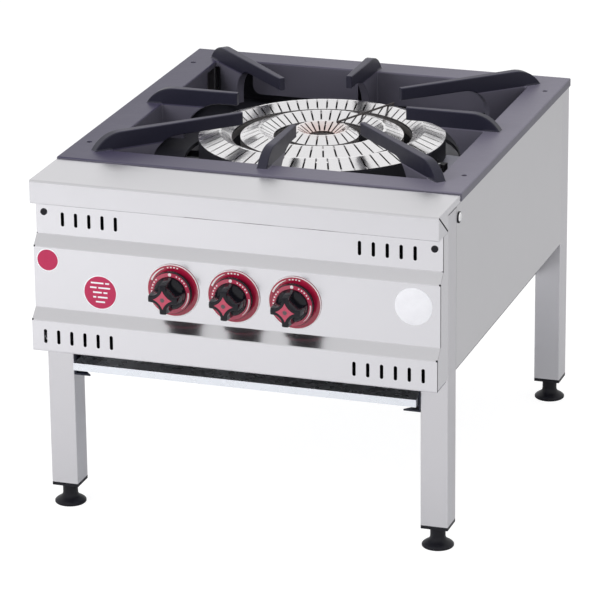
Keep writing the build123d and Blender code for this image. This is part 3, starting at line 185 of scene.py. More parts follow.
class FinishTree(NodeTree):
    """The node tree of a new material."""

    def __init__(self, name: str) -> None:
        """Make an empty material of this name."""
        self.material = bpy.data.materials.new(name)
        super().__init__(self.material)

    def place(self, stretch: Point = (1, 1, 1), centre: Point = (0, 0, 0)) -> Signal:
        """The point on the object, moved so that a centre is at 0 and then stretched.

        Args:
            stretch: Factor along each axis.
            centre: The point that becomes the origin, in metres.

        Returns:
            A vector signal.
        """
        point = self.add("ShaderNodeTexCoord", out="Object")
        moved = tuple(-c * s for c, s in zip(centre, stretch))
        return self.add("ShaderNodeMapping", {}, {"Vector": point, "Location": moved, "Scale": stretch})

    def noise(
        self, scale: float, detail: float = 2, rough: float = 0.5, stretch: Point = (1, 1, 1)
    ) -> Signal:
        """Cloudy noise from 0 to 1 over the object.

        Args:
            scale: Features in a metre.
            detail: Octaves.
            rough: How strong the small octaves are.
            stretch: Factor along each axis.

        Returns:
            A number signal.
        """
        sockets = {"Vector": self.place(stretch), "Scale": scale, "Detail": detail, "Roughness": rough}
        return self.add("ShaderNodeTexNoise", {}, sockets)

    def height(self) -> Signal:
        """The height above the floor, in metres."""
        return self.add("ShaderNodeSeparateXYZ", {}, {0: self.place()}, out="Z")

    def across(self) -> Signal:
        """The distance to the right of the range's middle, in metres."""
        return self.add("ShaderNodeSeparateXYZ", {}, {0: self.place()}, out="X")

    def from_axis(self, centre: Point) -> Signal:
        """The distance from the upright line through a point, in metres.

        Args:
            centre: The point.

        Returns:
            A number signal.
        """
        flat = self.place((1, 1, 0), centre)
        return self.add("ShaderNodeVectorMath", {"operation": "LENGTH"}, {0: flat}, out="Value")

    def above(self, value: Signal, limit: float) -> Signal:
        """1 where a value is greater than a limit, and 0 elsewhere."""
        return self.add("ShaderNodeMath", {"operation": "GREATER_THAN"}, {0: value, 1: limit})

    def ramp(self, value: Signal, *stops: tuple) -> Signal:
        """A value run through a colour ramp.

        Args:
            value: The number to look up.
            stops: Pairs of place and grey value or colour.

        Returns:
            A colour signal.
        """
        return self.add("ShaderNodeValToRGB", {"stops": stops}, {"Fac": value})

    def blend(self, amount: Signal, first: Colour | Signal, second: Colour | Signal) -> Signal:
        """A colour between two colours.

        Args:
            amount: 0 for the first and 1 for the second.
            first: A colour.
            second: A colour.

        Returns:
            A colour signal.
        """
        ends = [c if isinstance(c, Signal) else (*c, 1.0) for c in (first, second)]
        settings = {"data_type": "RGBA", "clamp_factor": True}
        return self.add("ShaderNodeMix", settings, {0: amount, 6: ends[0], 7: ends[1]}, out=2)

    def bump(
        self, height: Signal, depth: float, strength: float = 1.0, under: Signal | None = None
    ) -> Signal:
        """A normal bent by a height.

        Args:
            height: Height from 0 to 1.
            depth: What a height of 1 means, in metres.
            strength: How much of it is used.
            under: A normal to add it to.

        Returns:
            A normal signal.
        """
        sockets = {"Strength": strength, "Distance": depth, "Height": height}
        if under:
            sockets["Normal"] = under
        return self.add("ShaderNodeBump", {}, sockets)

    def around(self, middle: float, *swings: tuple[Signal, float]) -> Signal:
        """A number that noise swings evenly to both sides of a middle value.

        Args:
            middle: The middle value.
            swings: Pairs of noise from 0 to 1 and how far it swings the number in all.

        Returns:
            A number signal.
        """
        first, *others = [noise * swing for noise, swing in swings]
        return sum(others, first) + (middle - sum(swing for _, swing in swings) / 2)

    def finish(self, **sockets: "Signal | float | Colour") -> Material:
        """End the tree with a Principled shader.

        Args:
            sockets: Its inputs by name, with an underscore for each space.

        Returns:
            The material.
        """
        values = {}
        for key, value in sockets.items():
            if isinstance(value, tuple):
                value = (*value, 1.0)
            values[key.replace("_", " ")] = value
        shader = self.add("ShaderNodeBsdfPrincipled", {}, values)
        self.add("ShaderNodeOutputMaterial", {}, {"Surface": shader})
        return self.material


# ---------------------------------------------------------------------------- finishes
def scaled(colour: Colour, factor: float) -> Colour:
    """A colour made paler or darker, up to white.

    Args:
        colour: The colour.
        factor: What each channel is multiplied by.

    Returns:
        The new colour.
    """
    return tuple(min(1.0, factor * c) for c in colour)


@dataclass(frozen=True)
class Finish:
    """What every finish has: the name of its material, and a method that makes it."""

    name: str

    def material(self) -> Material:
        """Make the material."""
        raise NotImplementedError


@dataclass(frozen=True)
class SheetMetal(Finish):
    """Brushed or drawn metal: fine strokes along its grain, faint clouds and a slightly wavy face."""

    tone: Colour
    grain: Grain = Grain.ACROSS
    roughness: float = 0.36
    stroke_scale: float = 2200
    stroke_depth: float = 0.002 * MM
    wave_depth: float = 0.25 * MM

    def material(self) -> Material:
        """The metal's material.

        Returns:
            The material.
        """
        tree = FinishTree(self.name)
        strokes = tree.noise(self.stroke_scale, 4, 0.65, self.grain.value)
        clouds = tree.noise(7, 3)
        smears = tree.noise(30, 4, 0.6)
        tone = tree.blend(clouds, scaled(self.tone, 0.975), self.tone)
        tone = tree.blend(strokes * 0.05, tone, scaled(self.tone, 0.72))
        roughness = tree.around(self.roughness, (strokes, 0.05), (smears, 0.04))
        wavy = tree.bump(tree.noise(5, 1), self.wave_depth)
        normal = tree.bump(strokes, self.stroke_depth, 0.5, wavy)
        return tree.finish(Base_Color=tone, Metallic=1.0, Roughness=roughness, Normal=normal)


@dataclass(frozen=True)
class ZincSheet(Finish):
    """Galvanised sheet with its spangle of flat crystals."""

    tone: Colour
    roughness: float = 0.285
    crystal_scale: float = 110
    grain_depth: float = 0.003 * MM

    def material(self) -> Material:
        """The sheet's material.

        Returns:
            The material.
        """
        tree = FinishTree(self.name)
        sockets = {"Vector": tree.place(), "Scale": self.crystal_scale}
        cells = tree.add("ShaderNodeTexVoronoi", {}, sockets, out="Color")
        shade = tree.add("ShaderNodeSeparateColor", {}, {0: cells})
        tone = tree.blend(shade, scaled(self.tone, 0.96), self.tone)
        roughness = tree.around(self.roughness, (shade, 0.05))
        normal = tree.bump(tree.noise(900, 2), self.grain_depth, 0.5)
        return tree.finish(Base_Color=tone, Metallic=0.9, Roughness=roughness, Normal=normal)


@dataclass(frozen=True)
class CoatedIron(Finish):
    """Iron or steel under a thin satin coat: fine grain, soft lumps and a slightly uneven sheen."""

    tone: Colour
    roughness: float = 0.42
    grit_depth: float = 0.05 * MM
    lump_depth: float = 0.5 * MM

    def material(self) -> Material:
        """The iron's material.

        Returns:
            The material.
        """
        tree = FinishTree(self.name)
        grit = tree.noise(GRIT_SCALE, 5, 0.6)
        lumps = tree.noise(LUMP_SCALE, 3)
        patches = tree.noise(14, 4)
        tone = tree.blend(patches, scaled(self.tone, 0.86), scaled(self.tone, 1.14))
        tone = tree.blend(grit * 0.25, tone, scaled(self.tone, 1.7))
        roughness = tree.around(self.roughness, (patches, 0.12), (grit, 0.10))
        normal = tree.bump(grit, self.grit_depth, 0.7, tree.bump(lumps, self.lump_depth))
        return tree.finish(Base_Color=tone, Roughness=roughness, Normal=normal, IOR=COAT_INDEX)


@dataclass(frozen=True)
class TopIron(Finish):
    """The cast top's satin coat, with painted light and shade: painted shade darkens its fingers, painted
    light makes its walls paler and a painted sheen makes its rim paler still.

    The rim's painted sheen grows paler towards the right, and a painted highlight runs along the fingers'
    crests.
    """

    flat: float
    crest: float
    reach: float
    # Painted light and shade on one cast iron: tone is the fingers' painted shade, wall the walls' painted
    # light, and left and right the rim's painted sheen at its two ends; left is also the crests' painted
    # highlight.
    tone: Colour = (0.011, 0.011, 0.024)
    wall: Colour = (0.118, 0.113, 0.148)
    left: Colour = (0.036, 0.031, 0.070)
    right: Colour = (0.172, 0.160, 0.215)
    roughness: float = 0.38
    rim_below: float = 1.5 * MM
    rim_above: float = 0.5 * MM
    crest_highlight_band: float = 0.8 * MM
    grit_depth: float = 0.05 * MM
    lump_depth: float = 0.4 * MM

    def material(self) -> Material:
        """The top's material.

        Returns:
            The material.
        """
        tree = FinishTree(self.name)
        height = tree.height()
        grit = tree.noise(GRIT_SCALE, 5, 0.6)
        patches = tree.noise(9, 4)
        over_rim = tree.above(height, self.flat + self.rim_above)
        rim = tree.above(height, self.flat - self.rim_below) * (1.0 - over_rim)
        # Painted light on the rim: paler towards the right, with random darker patches.
        across = tree.across() * (0.5 / self.reach) + 0.5
        rim_patches_and_painted_light = tree.blend(across, self.left, self.right)
        rim_patches_and_painted_light = tree.blend(patches * 0.3, rim_patches_and_painted_light, scaled(self.right, 0.6))
        # Painted light on the walls below the flat and painted shade on the fingers above it; the rim band
        # then takes its painted light.
        tone = tree.blend(tree.above(height, self.flat), self.wall, self.tone)
        tone = tree.blend(rim, tone, rim_patches_and_painted_light)
        # Painted highlight along the fingers' crests.
        tone = tree.blend(tree.above(height, self.crest - self.crest_highlight_band) * 0.4, tone, self.left)
        tone = tree.blend(grit * 0.10, tone, scaled(self.right, 0.9))
        roughness = tree.around(self.roughness, (patches, 0.10), (grit, 0.08))
        lumpy = tree.bump(tree.noise(LUMP_SCALE, 3), self.lump_depth)
        normal = tree.bump(grit, self.grit_depth, 0.7, lumpy)
        return tree.finish(Base_Color=tone, Roughness=roughness, Normal=normal, IOR=COAT_INDEX)


@dataclass(frozen=True)
class RingMetal(Finish):
    """Burner ring caps: pale turned metal with fine rings of tool marks and a warm tint at the middle."""

    centre: Point
    tone: Colour = (0.99, 0.98, 0.99)
    heat: Colour = (0.88, 0.70, 0.66)
    soot: Colour = (0.35, 0.33, 0.33)
    roughness: float = 0.21
    warm_from: float = 26 * MM
    warm_to: float = 42 * MM
    mark_depth: float = 0.008 * MM
    lump_depth: float = 0.25 * MM

    def material(self) -> Material:
        """The ring caps' material.

        Returns:
            The material.
        """
        tree = FinishTree(self.name)
        radius = tree.from_axis(self.centre)
        sockets = {"W": radius, "Scale": 1600, "Detail": 2}
        marks = tree.add("ShaderNodeTexNoise", {"noise_dimensions": "1D"}, sockets)
        sooty = tree.ramp(tree.noise(26, 4, 0.6), (0.62, 0.0), (0.80, 1.0))
        warm = tree.ramp(radius, (self.warm_from, 0.8), (self.warm_to, 0.0))
        tone = tree.blend(tree.noise(60, 4), scaled(self.tone, 0.96), self.tone)
        tone = tree.blend(warm, tone, self.heat)
        tone = tree.blend(sooty * 0.15, tone, self.soot)
        roughness = tree.around(self.roughness, (marks, 0.08), (tree.noise(45, 3), 0.14))
        lumpy = tree.bump(tree.noise(55, 3), self.lump_depth)
        normal = tree.bump(marks, self.mark_depth, 0.5, lumpy)
        return tree.finish(Base_Color=tone, Metallic=1.0, Roughness=roughness, Normal=normal)


@dataclass(frozen=True)
class BurnerIron(Finish):
    """The burner's rough body: dark, and pale and more metallic above a height within a reach of its axis, on
    the inner wall of its outer channel.
    """

    centre: Point
    pale_reach: float
    pale_above: float
    tone: Colour = (0.022, 0.022, 0.028)
    pale: Colour = (0.52, 0.50, 0.50)
    grit_depth: float = 0.1 * MM

    def material(self) -> Material:
        """The body's material.

        Returns:
            The material.
        """
        tree = FinishTree(self.name)
        radius = tree.from_axis(self.centre)
        near = 1.0 - tree.above(radius, self.pale_reach)
        pale_upper = near * tree.above(tree.height(), self.pale_above)
        patches = tree.noise(40, 4)
        tone = tree.blend(patches, scaled(self.tone, 0.8), scaled(self.tone, 1.3))
        tone = tree.blend(pale_upper, tone, self.pale)
        roughness = 0.6 - pale_upper * 0.25
        normal = tree.bump(tree.noise(600, 4), self.grit_depth, 0.6)
        return tree.finish(Base_Color=tone, Metallic=pale_upper * 0.8, Roughness=roughness, Normal=normal)


@dataclass(frozen=True)
class PilotMetal(Finish):
    """The pilot's plated bracket, with the sooty pilot standing on it."""

    plate_top: float
    plate: Colour = (0.34, 0.34, 0.40)
    soot: Colour = (0.014, 0.014, 0.017)
    grit_depth: float = 0.02 * MM

    def material(self) -> Material:
        """The pilot's material.

        Returns:
            The material.
        """
        tree = FinishTree(self.name)
        sooty = tree.above(tree.height(), self.plate_top)
        tone = tree.blend(tree.noise(90, 3), scaled(self.plate, 0.9), self.plate)
        tone = tree.blend(sooty, tone, self.soot)
        metallic = 0.7 - sooty * 0.6
        roughness = sooty * 0.1 + 0.4
        normal = tree.bump(tree.noise(700, 3), self.grit_depth, 0.5)
        return tree.finish(Base_Color=tone, Metallic=metallic, Roughness=roughness, Normal=normal)


@dataclass(frozen=True)
class Moulding(Finish):
    """Moulded or printed plastic: an even colour with fine grain and faint handling marks."""

    tone: Colour
    roughness: float = 0.4
    grain_depth: float = 0.004 * MM
    coat: float = 0.0
    coat_roughness: float = 0.04
    index: float = 1.5

    def material(self) -> Material:
        """The plastic's material.

        Returns:
            The material.
        """
        tree = FinishTree(self.name)
        grain = tree.noise(1800, 3)
        marks = tree.noise(70, 4, 0.6)
        tone = tree.blend(marks, scaled(self.tone, 0.92), scaled(self.tone, 1.06))
        roughness = tree.around(self.roughness, (marks, 0.10), (grain, 0.04))
        normal = tree.bump(grain, self.grain_depth, 0.6)
        coat = {"Coat_Weight": self.coat, "Coat_Roughness": self.coat_roughness, "IOR": self.index}
        return tree.finish(Base_Color=tone, Roughness=roughness, Normal=normal, **coat)


# ---------------------------------------------------------------------------- shared making
def dress(nodes: Nodes, finish: Finish, *names: str) -> None:
    """Give CAD nodes a finish.

    Args:
        nodes: The frame's nodes by name.
        finish: The finish.
        names: The nodes to dress.
    """
    material = finish.material()
    for name in names:
        mesh = nodes[name].data
        mesh.materials.clear()
        mesh.materials.append(material)
        LOG.info("%s is finished in %s", name, material.name)


def put(bm: BMesh, name: str, material: Material, body: str, sharp: float = SHARP_FROM) -> Object:
    """Turn a bmesh into a piece that rides on a body.

    Args:
        bm: The shape, in the frame. It is freed.
        name: The piece's name.
        material: Its finish.
        body: The body that it moves with.
        sharp: Edges sharper than this many degrees stay sharp.

    Returns:
        The piece.
    """
    bmesh.ops.recalc_face_normals(bm, faces=bm.faces)
    mesh = bpy.data.meshes.new(name)
    bm.to_mesh(mesh)
    bm.free()
    mesh.materials.append(material)
    mesh.shade_smooth()
    mesh.set_sharp_from_angle(angle=math.radians(sharp))
    piece = bpy.data.objects.new(name, mesh)
    bpy.context.scene.collection.objects.link(piece)
    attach(piece, body)
    LOG.info("%s rides on %s with %d faces", name, body, len(mesh.polygons))
    return piece


def facing_cook(x: float, y: float, z: float) -> Matrix:
    """The place of a dial: its own X is right, its own Y is up and its own Z points at the cook."""
    return Matrix.Translation((x, y, z)) @ Matrix.Rotation(math.pi / 2, 4, "X")


def round_edges(bm: BMesh, edges: list[BMEdge], radius: float) -> None:
    """Round some edges.

    Args:
        bm: The bmesh that holds them.
        edges: The edges.
        radius: Radius of the round.
    """
    style = {"segments": ROUND_STEPS, "affect": "EDGES", "profile": 0.5, "material": -1}
    bmesh.ops.bevel(bm, geom=edges, offset=radius, **style)


def add_block(bm: BMesh, size: Point, middle: Point, tilt: float = 0) -> None:
    """Add a block.

    Args:
        bm: The bmesh to add to.
        size: Its size along X, Y and Z.
        middle: Its middle.
        tilt: How far it is turned about the X axis, in radians.
    """
    verts = bmesh.ops.create_cube(bm, size=1)["verts"]
    bmesh.ops.scale(bm, verts=verts, vec=size)
    bmesh.ops.rotate(bm, verts=verts, matrix=Matrix.Rotation(tilt, 3, "X"))
    bmesh.ops.translate(bm, verts=verts, vec=middle)


def add_disc(
    bm: BMesh, radius: float, low: float, high: float, edge: float = 0, at: Pair = (0, 0)
) -> None:
    """Add a round plate with a rounded upper edge.

    Args:
        bm: The bmesh to add to.
        radius: Its radius.
        low: Height of its lower face.
        high: Height of its upper face.
        edge: Radius of its upper edge.
        at: Where its axis is, along the local X and Y.
    """
    place = Matrix.Translation((*at, low))
    made = bmesh.ops.create_circle(bm, cap_ends=True, segments=DISC_STEPS, radius=radius, matrix=place)
    face = made["verts"][0].link_faces[0]
    raised = bmesh.ops.extrude_face_region(bm, geom=[face])["geom"]
    top = [v for v in raised if isinstance(v, BMVert)]
    bmesh.ops.translate(bm, verts=top, vec=(0, 0, high - low))
    if edge:
        round_edges(bm, [e for e in raised if isinstance(e, BMEdge)], edge)


def add_ring(bm: BMesh, inner: float, outer: float, low: float, high: float) -> None:
    """Add a flat ring round the local Z axis.

    Args:
        bm: The bmesh to add to.
        inner: Radius of its hole.
        outer: Its outer radius.
        low: Height of its lower face.
        high: Height of its upper face.
    """
    corners = [bm.verts.new((r, 0, z)) for r, z in ((inner, low), (outer, low), (outer, high), (inner, high))]
    edges = [bm.edges.new(pair) for pair in zip(corners, corners[1:] + corners[:1])]
    turn = {"cent": (0, 0, 0), "axis": (0, 0, 1), "angle": math.tau, "steps": RING_STEPS, "use_merge": True}
    bmesh.ops.spin(bm, geom=corners + edges, **turn)


def add_arc(bm: BMesh, radius: float, angles: Pair, widths: Pair, z: float) -> None:
    """Add a printed arc round the local Z axis, whose width changes along it.

    Args:
        bm: The bmesh to add to.
        radius: Radius of its middle line.
        angles: First and last angle in degrees, from +X, anticlockwise.
        widths: Its width at both ends.
        z: Its height.
    """
    made = bmesh.ops.create_grid(bm, x_segments=ARC_STEPS, y_segments=1, size=1)
    for vert in made["verts"]:
        share = (vert.co.x + 1) / 2
        angle = math.radians(angles[0] + (angles[1] - angles[0]) * share)
        reach = radius + vert.co.y * (widths[0] + (widths[1] - widths[0]) * share) / 2
        vert.co = (reach * math.cos(angle), reach * math.sin(angle), z)


def raise_face(bm: BMesh, face: BMFace, height: float, shrink: float = 1) -> BMFace:
    """Extrude a face along the local Z axis.

    Args:
        bm: The bmesh that holds it.
        face: The face.
        height: How far it goes.
        shrink: Factor on its size, about the axis.

    Returns:
        The face at the new height.
    """
    made = bmesh.ops.extrude_face_region(bm, geom=[face])["geom"]
    verts = [v for v in made if isinstance(v, BMVert)]
    bmesh.ops.translate(bm, verts=verts, vec=(0, 0, height))
    bmesh.ops.scale(bm, verts=verts, vec=(shrink, shrink, 1))
    return next(f for f in made if isinstance(f, BMFace))


# ---------------------------------------------------------------------------- studio
@dataclass(frozen=True)
class Lamp:
    """A square soft lamp: where it hangs, the side of its square in metres and its power in watts."""

    name: str
    place: Point
    size: float
    power: float


@dataclass
class Studio:
    """Pale floor, white surroundings, three soft lamps and the photograph's camera. Angles in degrees."""

    target: Point = (-0.0204, 0.01265, 0.2404)
    yaw: float = 18.642
    pitch: float = 19.428
    roll: float = -0.624
    distance: float = 5.5711
    lens: float = 224.06
    sensor: float = 36
    sight: float = 100
    ambient: float = 0.55
    horizon: float = 0.93
    zenith: float = 0.77
    floor: float = 14.0
    floor_tone: Colour = (0.86, 0.86, 0.87)
    floor_glow: float = 1.23
    glow_share: float = 0.72
    lamps: tuple[Lamp, ...] = (
        Lamp("key_lamp", (-1.5, -1.9, 1.6), 1.5, 29),
        Lamp("fill_lamp", (2.6, -3.0, 1.6), 2.6, 16),
        Lamp("top_lamp", (0.2, -0.4, 3.6), 2.8, 34),
    )

    def build(self) -> None:
        """Make all of it."""
        self._camera()
        self._surroundings()
        self._floor()
        for lamp in self.lamps:
            self._lamp(lamp)
        LOG.info("studio is ready")

    def _camera(self) -> None:
        """Stand the camera where the photograph was taken from."""
        turns = ((self.yaw, "Z"), (90 - self.pitch, "X"), (self.roll, "Z"))
        yaw, pitch, roll = (Matrix.Rotation(math.radians(angle), 4, axis) for angle, axis in turns)
        data = bpy.data.cameras.new("camera")
        data.lens = self.lens
        data.sensor_width = self.sensor
        data.sensor_fit = "HORIZONTAL"
        data.clip_end = self.sight
        camera = bpy.data.objects.new("camera", data)
        bpy.context.scene.collection.objects.link(camera)
        stand_back = Matrix.Translation((0, 0, self.distance))
        camera.matrix_world = Matrix.Translation(self.target) @ yaw @ pitch @ roll @ stand_back
        bpy.context.scene.camera = camera

    def _surroundings(self) -> None:
        """A world that is white to the camera, paler to reflections near the horizon, and dimmer as light."""
        world = bpy.data.worlds.new("studio")
        bpy.context.scene.world = world
        tree = NodeTree(world)
        rays = ("Is Camera Ray", "Is Glossy Ray", "Is Transmission Ray")
        camera, glossy, passing = (tree.add("ShaderNodeLightPath", out=ray) for ray in rays)
        mirrored = tree.add("ShaderNodeMath", {"operation": "MAXIMUM"}, {0: glossy, 1: passing})
        place = tree.add("ShaderNodeTexCoord", out="Generated")
        up = tree.add("ShaderNodeSeparateXYZ", {}, {0: place}, out="Z")
        sky = tree.add("ShaderNodeMapRange", {}, {"Value": up, "To Min": self.horizon, "To Max": self.zenith})
        unseen = tree.add("ShaderNodeMix", {}, {0: mirrored, 2: self.ambient, 3: sky})
        strength = tree.add("ShaderNodeMix", {}, {0: camera, 2: unseen, 3: 1.0})
        light = tree.add("ShaderNodeBackground", {}, {"Color": (1, 1, 1, 1), "Strength": strength})
        tree.add("ShaderNodeOutputWorld", {}, {"Surface": light})

    def _floor(self) -> None:
        """A floor that is white to the camera apart from the range's shadow."""
        tree = FinishTree("studio_floor")
        seen = tree.add("ShaderNodeLightPath", out="Is Camera Ray")
        matt = tree.add("ShaderNodeBsdfDiffuse", {}, {"Color": (*self.floor_tone, 1)})
        glow = tree.add("ShaderNodeEmission", {}, {"Color": (1, 1, 1, 1), "Strength": self.floor_glow})
        mixed = tree.add("ShaderNodeMixShader", {}, {0: seen * self.glow_share, 1: matt, 2: glow})
        tree.add("ShaderNodeOutputMaterial", {}, {"Surface": mixed})
        bm = bmesh.new()
        bmesh.ops.create_grid(bm, x_segments=1, y_segments=1, size=self.floor / 2)
        mesh = bpy.data.meshes.new("floor")
        bm.to_mesh(mesh)
        bm.free()
        mesh.materials.append(tree.material)
        floor = bpy.data.objects.new("floor", mesh)
        bpy.context.scene.collection.objects.link(floor)

    def _lamp(self, lamp: Lamp) -> None:
        """Hang a lamp that looks at the range.

        Args:
            lamp: The lamp.
        """
        data = bpy.data.lights.new(lamp.name, "AREA")
        data.shape = "SQUARE"
        data.size = lamp.size
        data.energy = lamp.power
        light = bpy.data.objects.new(lamp.name, data)
        light.visible_glossy = False
        bpy.context.scene.collection.objects.link(light)
        away = Vector(lamp.place) - Vector(self.target)
        turn = away.to_track_quat("Z", "Y").to_matrix().to_4x4()
        light.matrix_world = Matrix.Translation(lamp.place) @ turn


# ---------------------------------------------------------------------------- casing
@dataclass(frozen=True)
class Label:
    """A round label on the panel's middle face: its middle, its radius and whether it has a red field."""

    name: str
    x: float
    z: float
    radius: float
    printed: bool


@dataclass
class Casing:
    """Sheet metal, frame, feet and tray, with the labels, screw caps and dark pieces of painted shade:
    sheets behind the vents, strips in the open seams and rings under the screw caps.

    The upper shade sheet reaches between two depths below the panel's top. The panel's three faces end at
    upper_foot, middle_top, middle_foot and lower_top above the floor.
    """

    face: float
    labels: tuple[Label, ...] = (
        Label("left_label", -279.2 * MM, 392.0 * MM, 17.0 * MM, True),
        Label("round_label", -200.5 * MM, 351.0 * MM, 25.5 * MM, True),
        Label("plain_label", 261.6 * MM, 377.3 * MM, 27.0 * MM, False),
    )
    label: float = 0.3 * MM
    label_round: float = 0.1 * MM
    rim: float = 1.5 * MM
    print: float = 0.06 * MM
    bars: tuple[tuple[float, ...], ...] = (
        (19.14, 5.94), (9.90, 17.82), (13.20, 5.94), (4.62, 14.52), (13.86,)
    )
    bar_pitch: float = 7.0 * MM
    bar_height: float = 2.3 * MM
    bar_space: float = 2.6 * MM
    shade_sheet: float = 54.0 * MM
    shade_sheet_upper: Pair = (102.6 * MM, 32.4 * MM)
    shade_sheet_thickness: float = 1.0 * MM
    shade_sheet_inset: float = 4.0 * MM
    shade_sheet_space: float = 6.0 * MM
    cap_radius: float = 6.8 * MM
    cap_height: float = 2.6 * MM
    cap_round: float = 2.34 * MM
    shadow_ring_radius: float = 8.2 * MM
    shadow_ring_height: float = 1.3 * MM
    shadow_ring_forward: float = 1.6 * MM
    seam_depth: float = 0.5 * MM
    seam_proud: float = 0.05 * MM
    seam_behind: float = 0.5 * MM
    seam_width: float = 2.6 * MM
    mitre_share: float = 0.9
    relief: Point = (2.0 * MM, 2.6 * MM, 2.4 * MM)
    upper_step: float = 13.0 * MM
    upper_foot: float = 426.5 * MM
    middle_top: float = 411.5 * MM
    middle_foot: float = 320.0 * MM
    lower_top: float = 306.0 * MM

    def build(self, nodes: Nodes) -> None:
        """Dress the nodes and add the pieces that the frame hasn't.

        Args:
            nodes: The frame's nodes by name.
        """
        self._dress(nodes)
        red = Moulding("label_red", (0.47, 0.030, 0.095), 0.35, index=1.35).material()
        white = Moulding("label_white", (0.86, 0.86, 0.90)).material()
        for label in self.labels:
            self._label(label, white, red)
        self._bars(self.labels[1], white)
        # One near-black finish for all the painted shade: the vent sheets, the seam strips and the rings
        # under the screw caps.
        shade = Moulding("painted_shade_black", (0.006, 0.006, 0.009), 0.7, index=1.2).material()
        self._screw_caps(shade)
        self._vent_shade_sheets(shade)
        self._seams(shade)

    def _dress(self, nodes: Nodes) -> None:
        """Dress the casing's nodes.

        Args:
            nodes: The frame's nodes by name.
        """
        # The side panels get a darker copy of the front's stainless tone: painted shade on the sides.
        front, side = (0.745, 0.738, 0.765), (0.69, 0.685, 0.70)
        legs = SheetMetal("stainless_legs", (0.68, 0.672, 0.695), Grain.UPRIGHT)
        rails = SheetMetal("frame_rails", (0.50, 0.50, 0.52), Grain.DEEP, 0.42)
        pan = CoatedIron("enamelled_pan", (0.020, 0.020, 0.027), 0.5, 0.01 * MM, 0.3 * MM)
        runners = CoatedIron("painted_runners", (0.012, 0.014, 0.026), 0.45, 0.01 * MM, 0.1 * MM)
        plated = SheetMetal("zinc_plated", (0.66, 0.66, 0.65), Grain.UPRIGHT, 0.3)
        black = Moulding("moulded_black", (0.008, 0.008, 0.012), 0.42, 0.02 * MM, index=1.33)
        panels = ("side_panel_left", "side_panel_right", "back_panel")
        dress(nodes, SheetMetal("stainless_hood", front, roughness=0.25), "front_hood")
        dress(nodes, SheetMetal("stainless_front", front, roughness=0.21), "control_panel")
        dress(nodes, SheetMetal("stainless_side_shaded", side, Grain.UPRIGHT), *panels)
        dress(nodes, legs, *[n for n in nodes if n.startswith(("leg_front", "leg_rear"))])
        dress(nodes, rails, "lower_frame_rails", "burner_support_bars")
        dress(nodes, pan, "spill_pan", "upper_frame_rails")
        dress(nodes, ZincSheet("galvanised", (0.86, 0.89, 0.94)), "drip_tray")
        dress(nodes, runners, "drip_tray_runners")
        dress(nodes, plated, "side_screws", "cast_top_screws", "burner_bolts")
        feet = [n for n in nodes if n.startswith("levelling_foot")]
        dress(nodes, black, "leg_end_caps", "panel_plugs", *feet)

    def _stick(self, bm: BMesh, name: str, material: Material, label: Label) -> None:
        """Move a shape from a label's own axes to its place on the panel.

        Args:
            bm: The shape.
            name: The piece's name.
            material: Its finish.
            label: The label.
        """
        bmesh.ops.transform(bm, matrix=facing_cook(label.x, self.face, label.z), verts=bm.verts)
        put(bm, name, material, "range")

    def _label(self, label: Label, rim: Material, field: Material) -> None:
        """Stick a round label on the panel's middle face.

        Args:
            label: The label.
            rim: The label's material.
            field: The material of its printed field.
        """
        bm = bmesh.new()
        add_disc(bm, label.radius, 0, self.label, self.label_round)
        self._stick(bm, label.name, rim, label)
        if label.printed:
            bm = bmesh.new()
            add_disc(bm, label.radius - self.rim, self.label, self.label + self.print)
            self._stick(bm, f"{label.name}_field", field, label)

    def _bars(self, label: Label, material: Material) -> None:
        """Print rows of plain bars on a label, where the real one has words.

        Args:
            label: The label.
            material: The print's material.
        """
        bm = bmesh.new()
        middle_row = len(self.bars) // 2
        for row, words in enumerate(self.bars):
            lengths = [length * MM for length in words]
            x = -(sum(lengths) + self.bar_space * (len(lengths) - 1)) / 2
            for length in lengths:
                made = bmesh.ops.create_grid(bm, x_segments=1, y_segments=1, size=0.5)
                middle = (x + length / 2, (middle_row - row) * self.bar_pitch, self.label + 2 * self.print)
                bmesh.ops.scale(bm, verts=made["verts"], vec=(length, self.bar_height, 1))
                bmesh.ops.translate(bm, verts=made["verts"], vec=middle)
                x += length + self.bar_space
        self._stick(bm, f"{label.name}_bars", material, label)

    def _vent_shade_sheets(self, material: Material) -> None:
        """Stand a dark sheet of painted shade behind each row of vent slots, so that the slots look dark.

        Args:
            material: Their finish.
        """
        panel_low, panel_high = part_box("control_panel")
        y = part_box("leg_front_left")[0].y - self.shade_sheet_space
        width = 2 * (panel_high.x - self.shade_sheet_inset)
        upper = tuple(panel_high.z - depth for depth in self.shade_sheet_upper)
        bm = bmesh.new()
        for low, high in ((panel_low.z, panel_low.z + self.shade_sheet), upper):
            add_block(bm, (width, self.shade_sheet_thickness, high - low), (0, y, (low + high) / 2))
        put(bm, "vent_shade_sheets", material, "range")

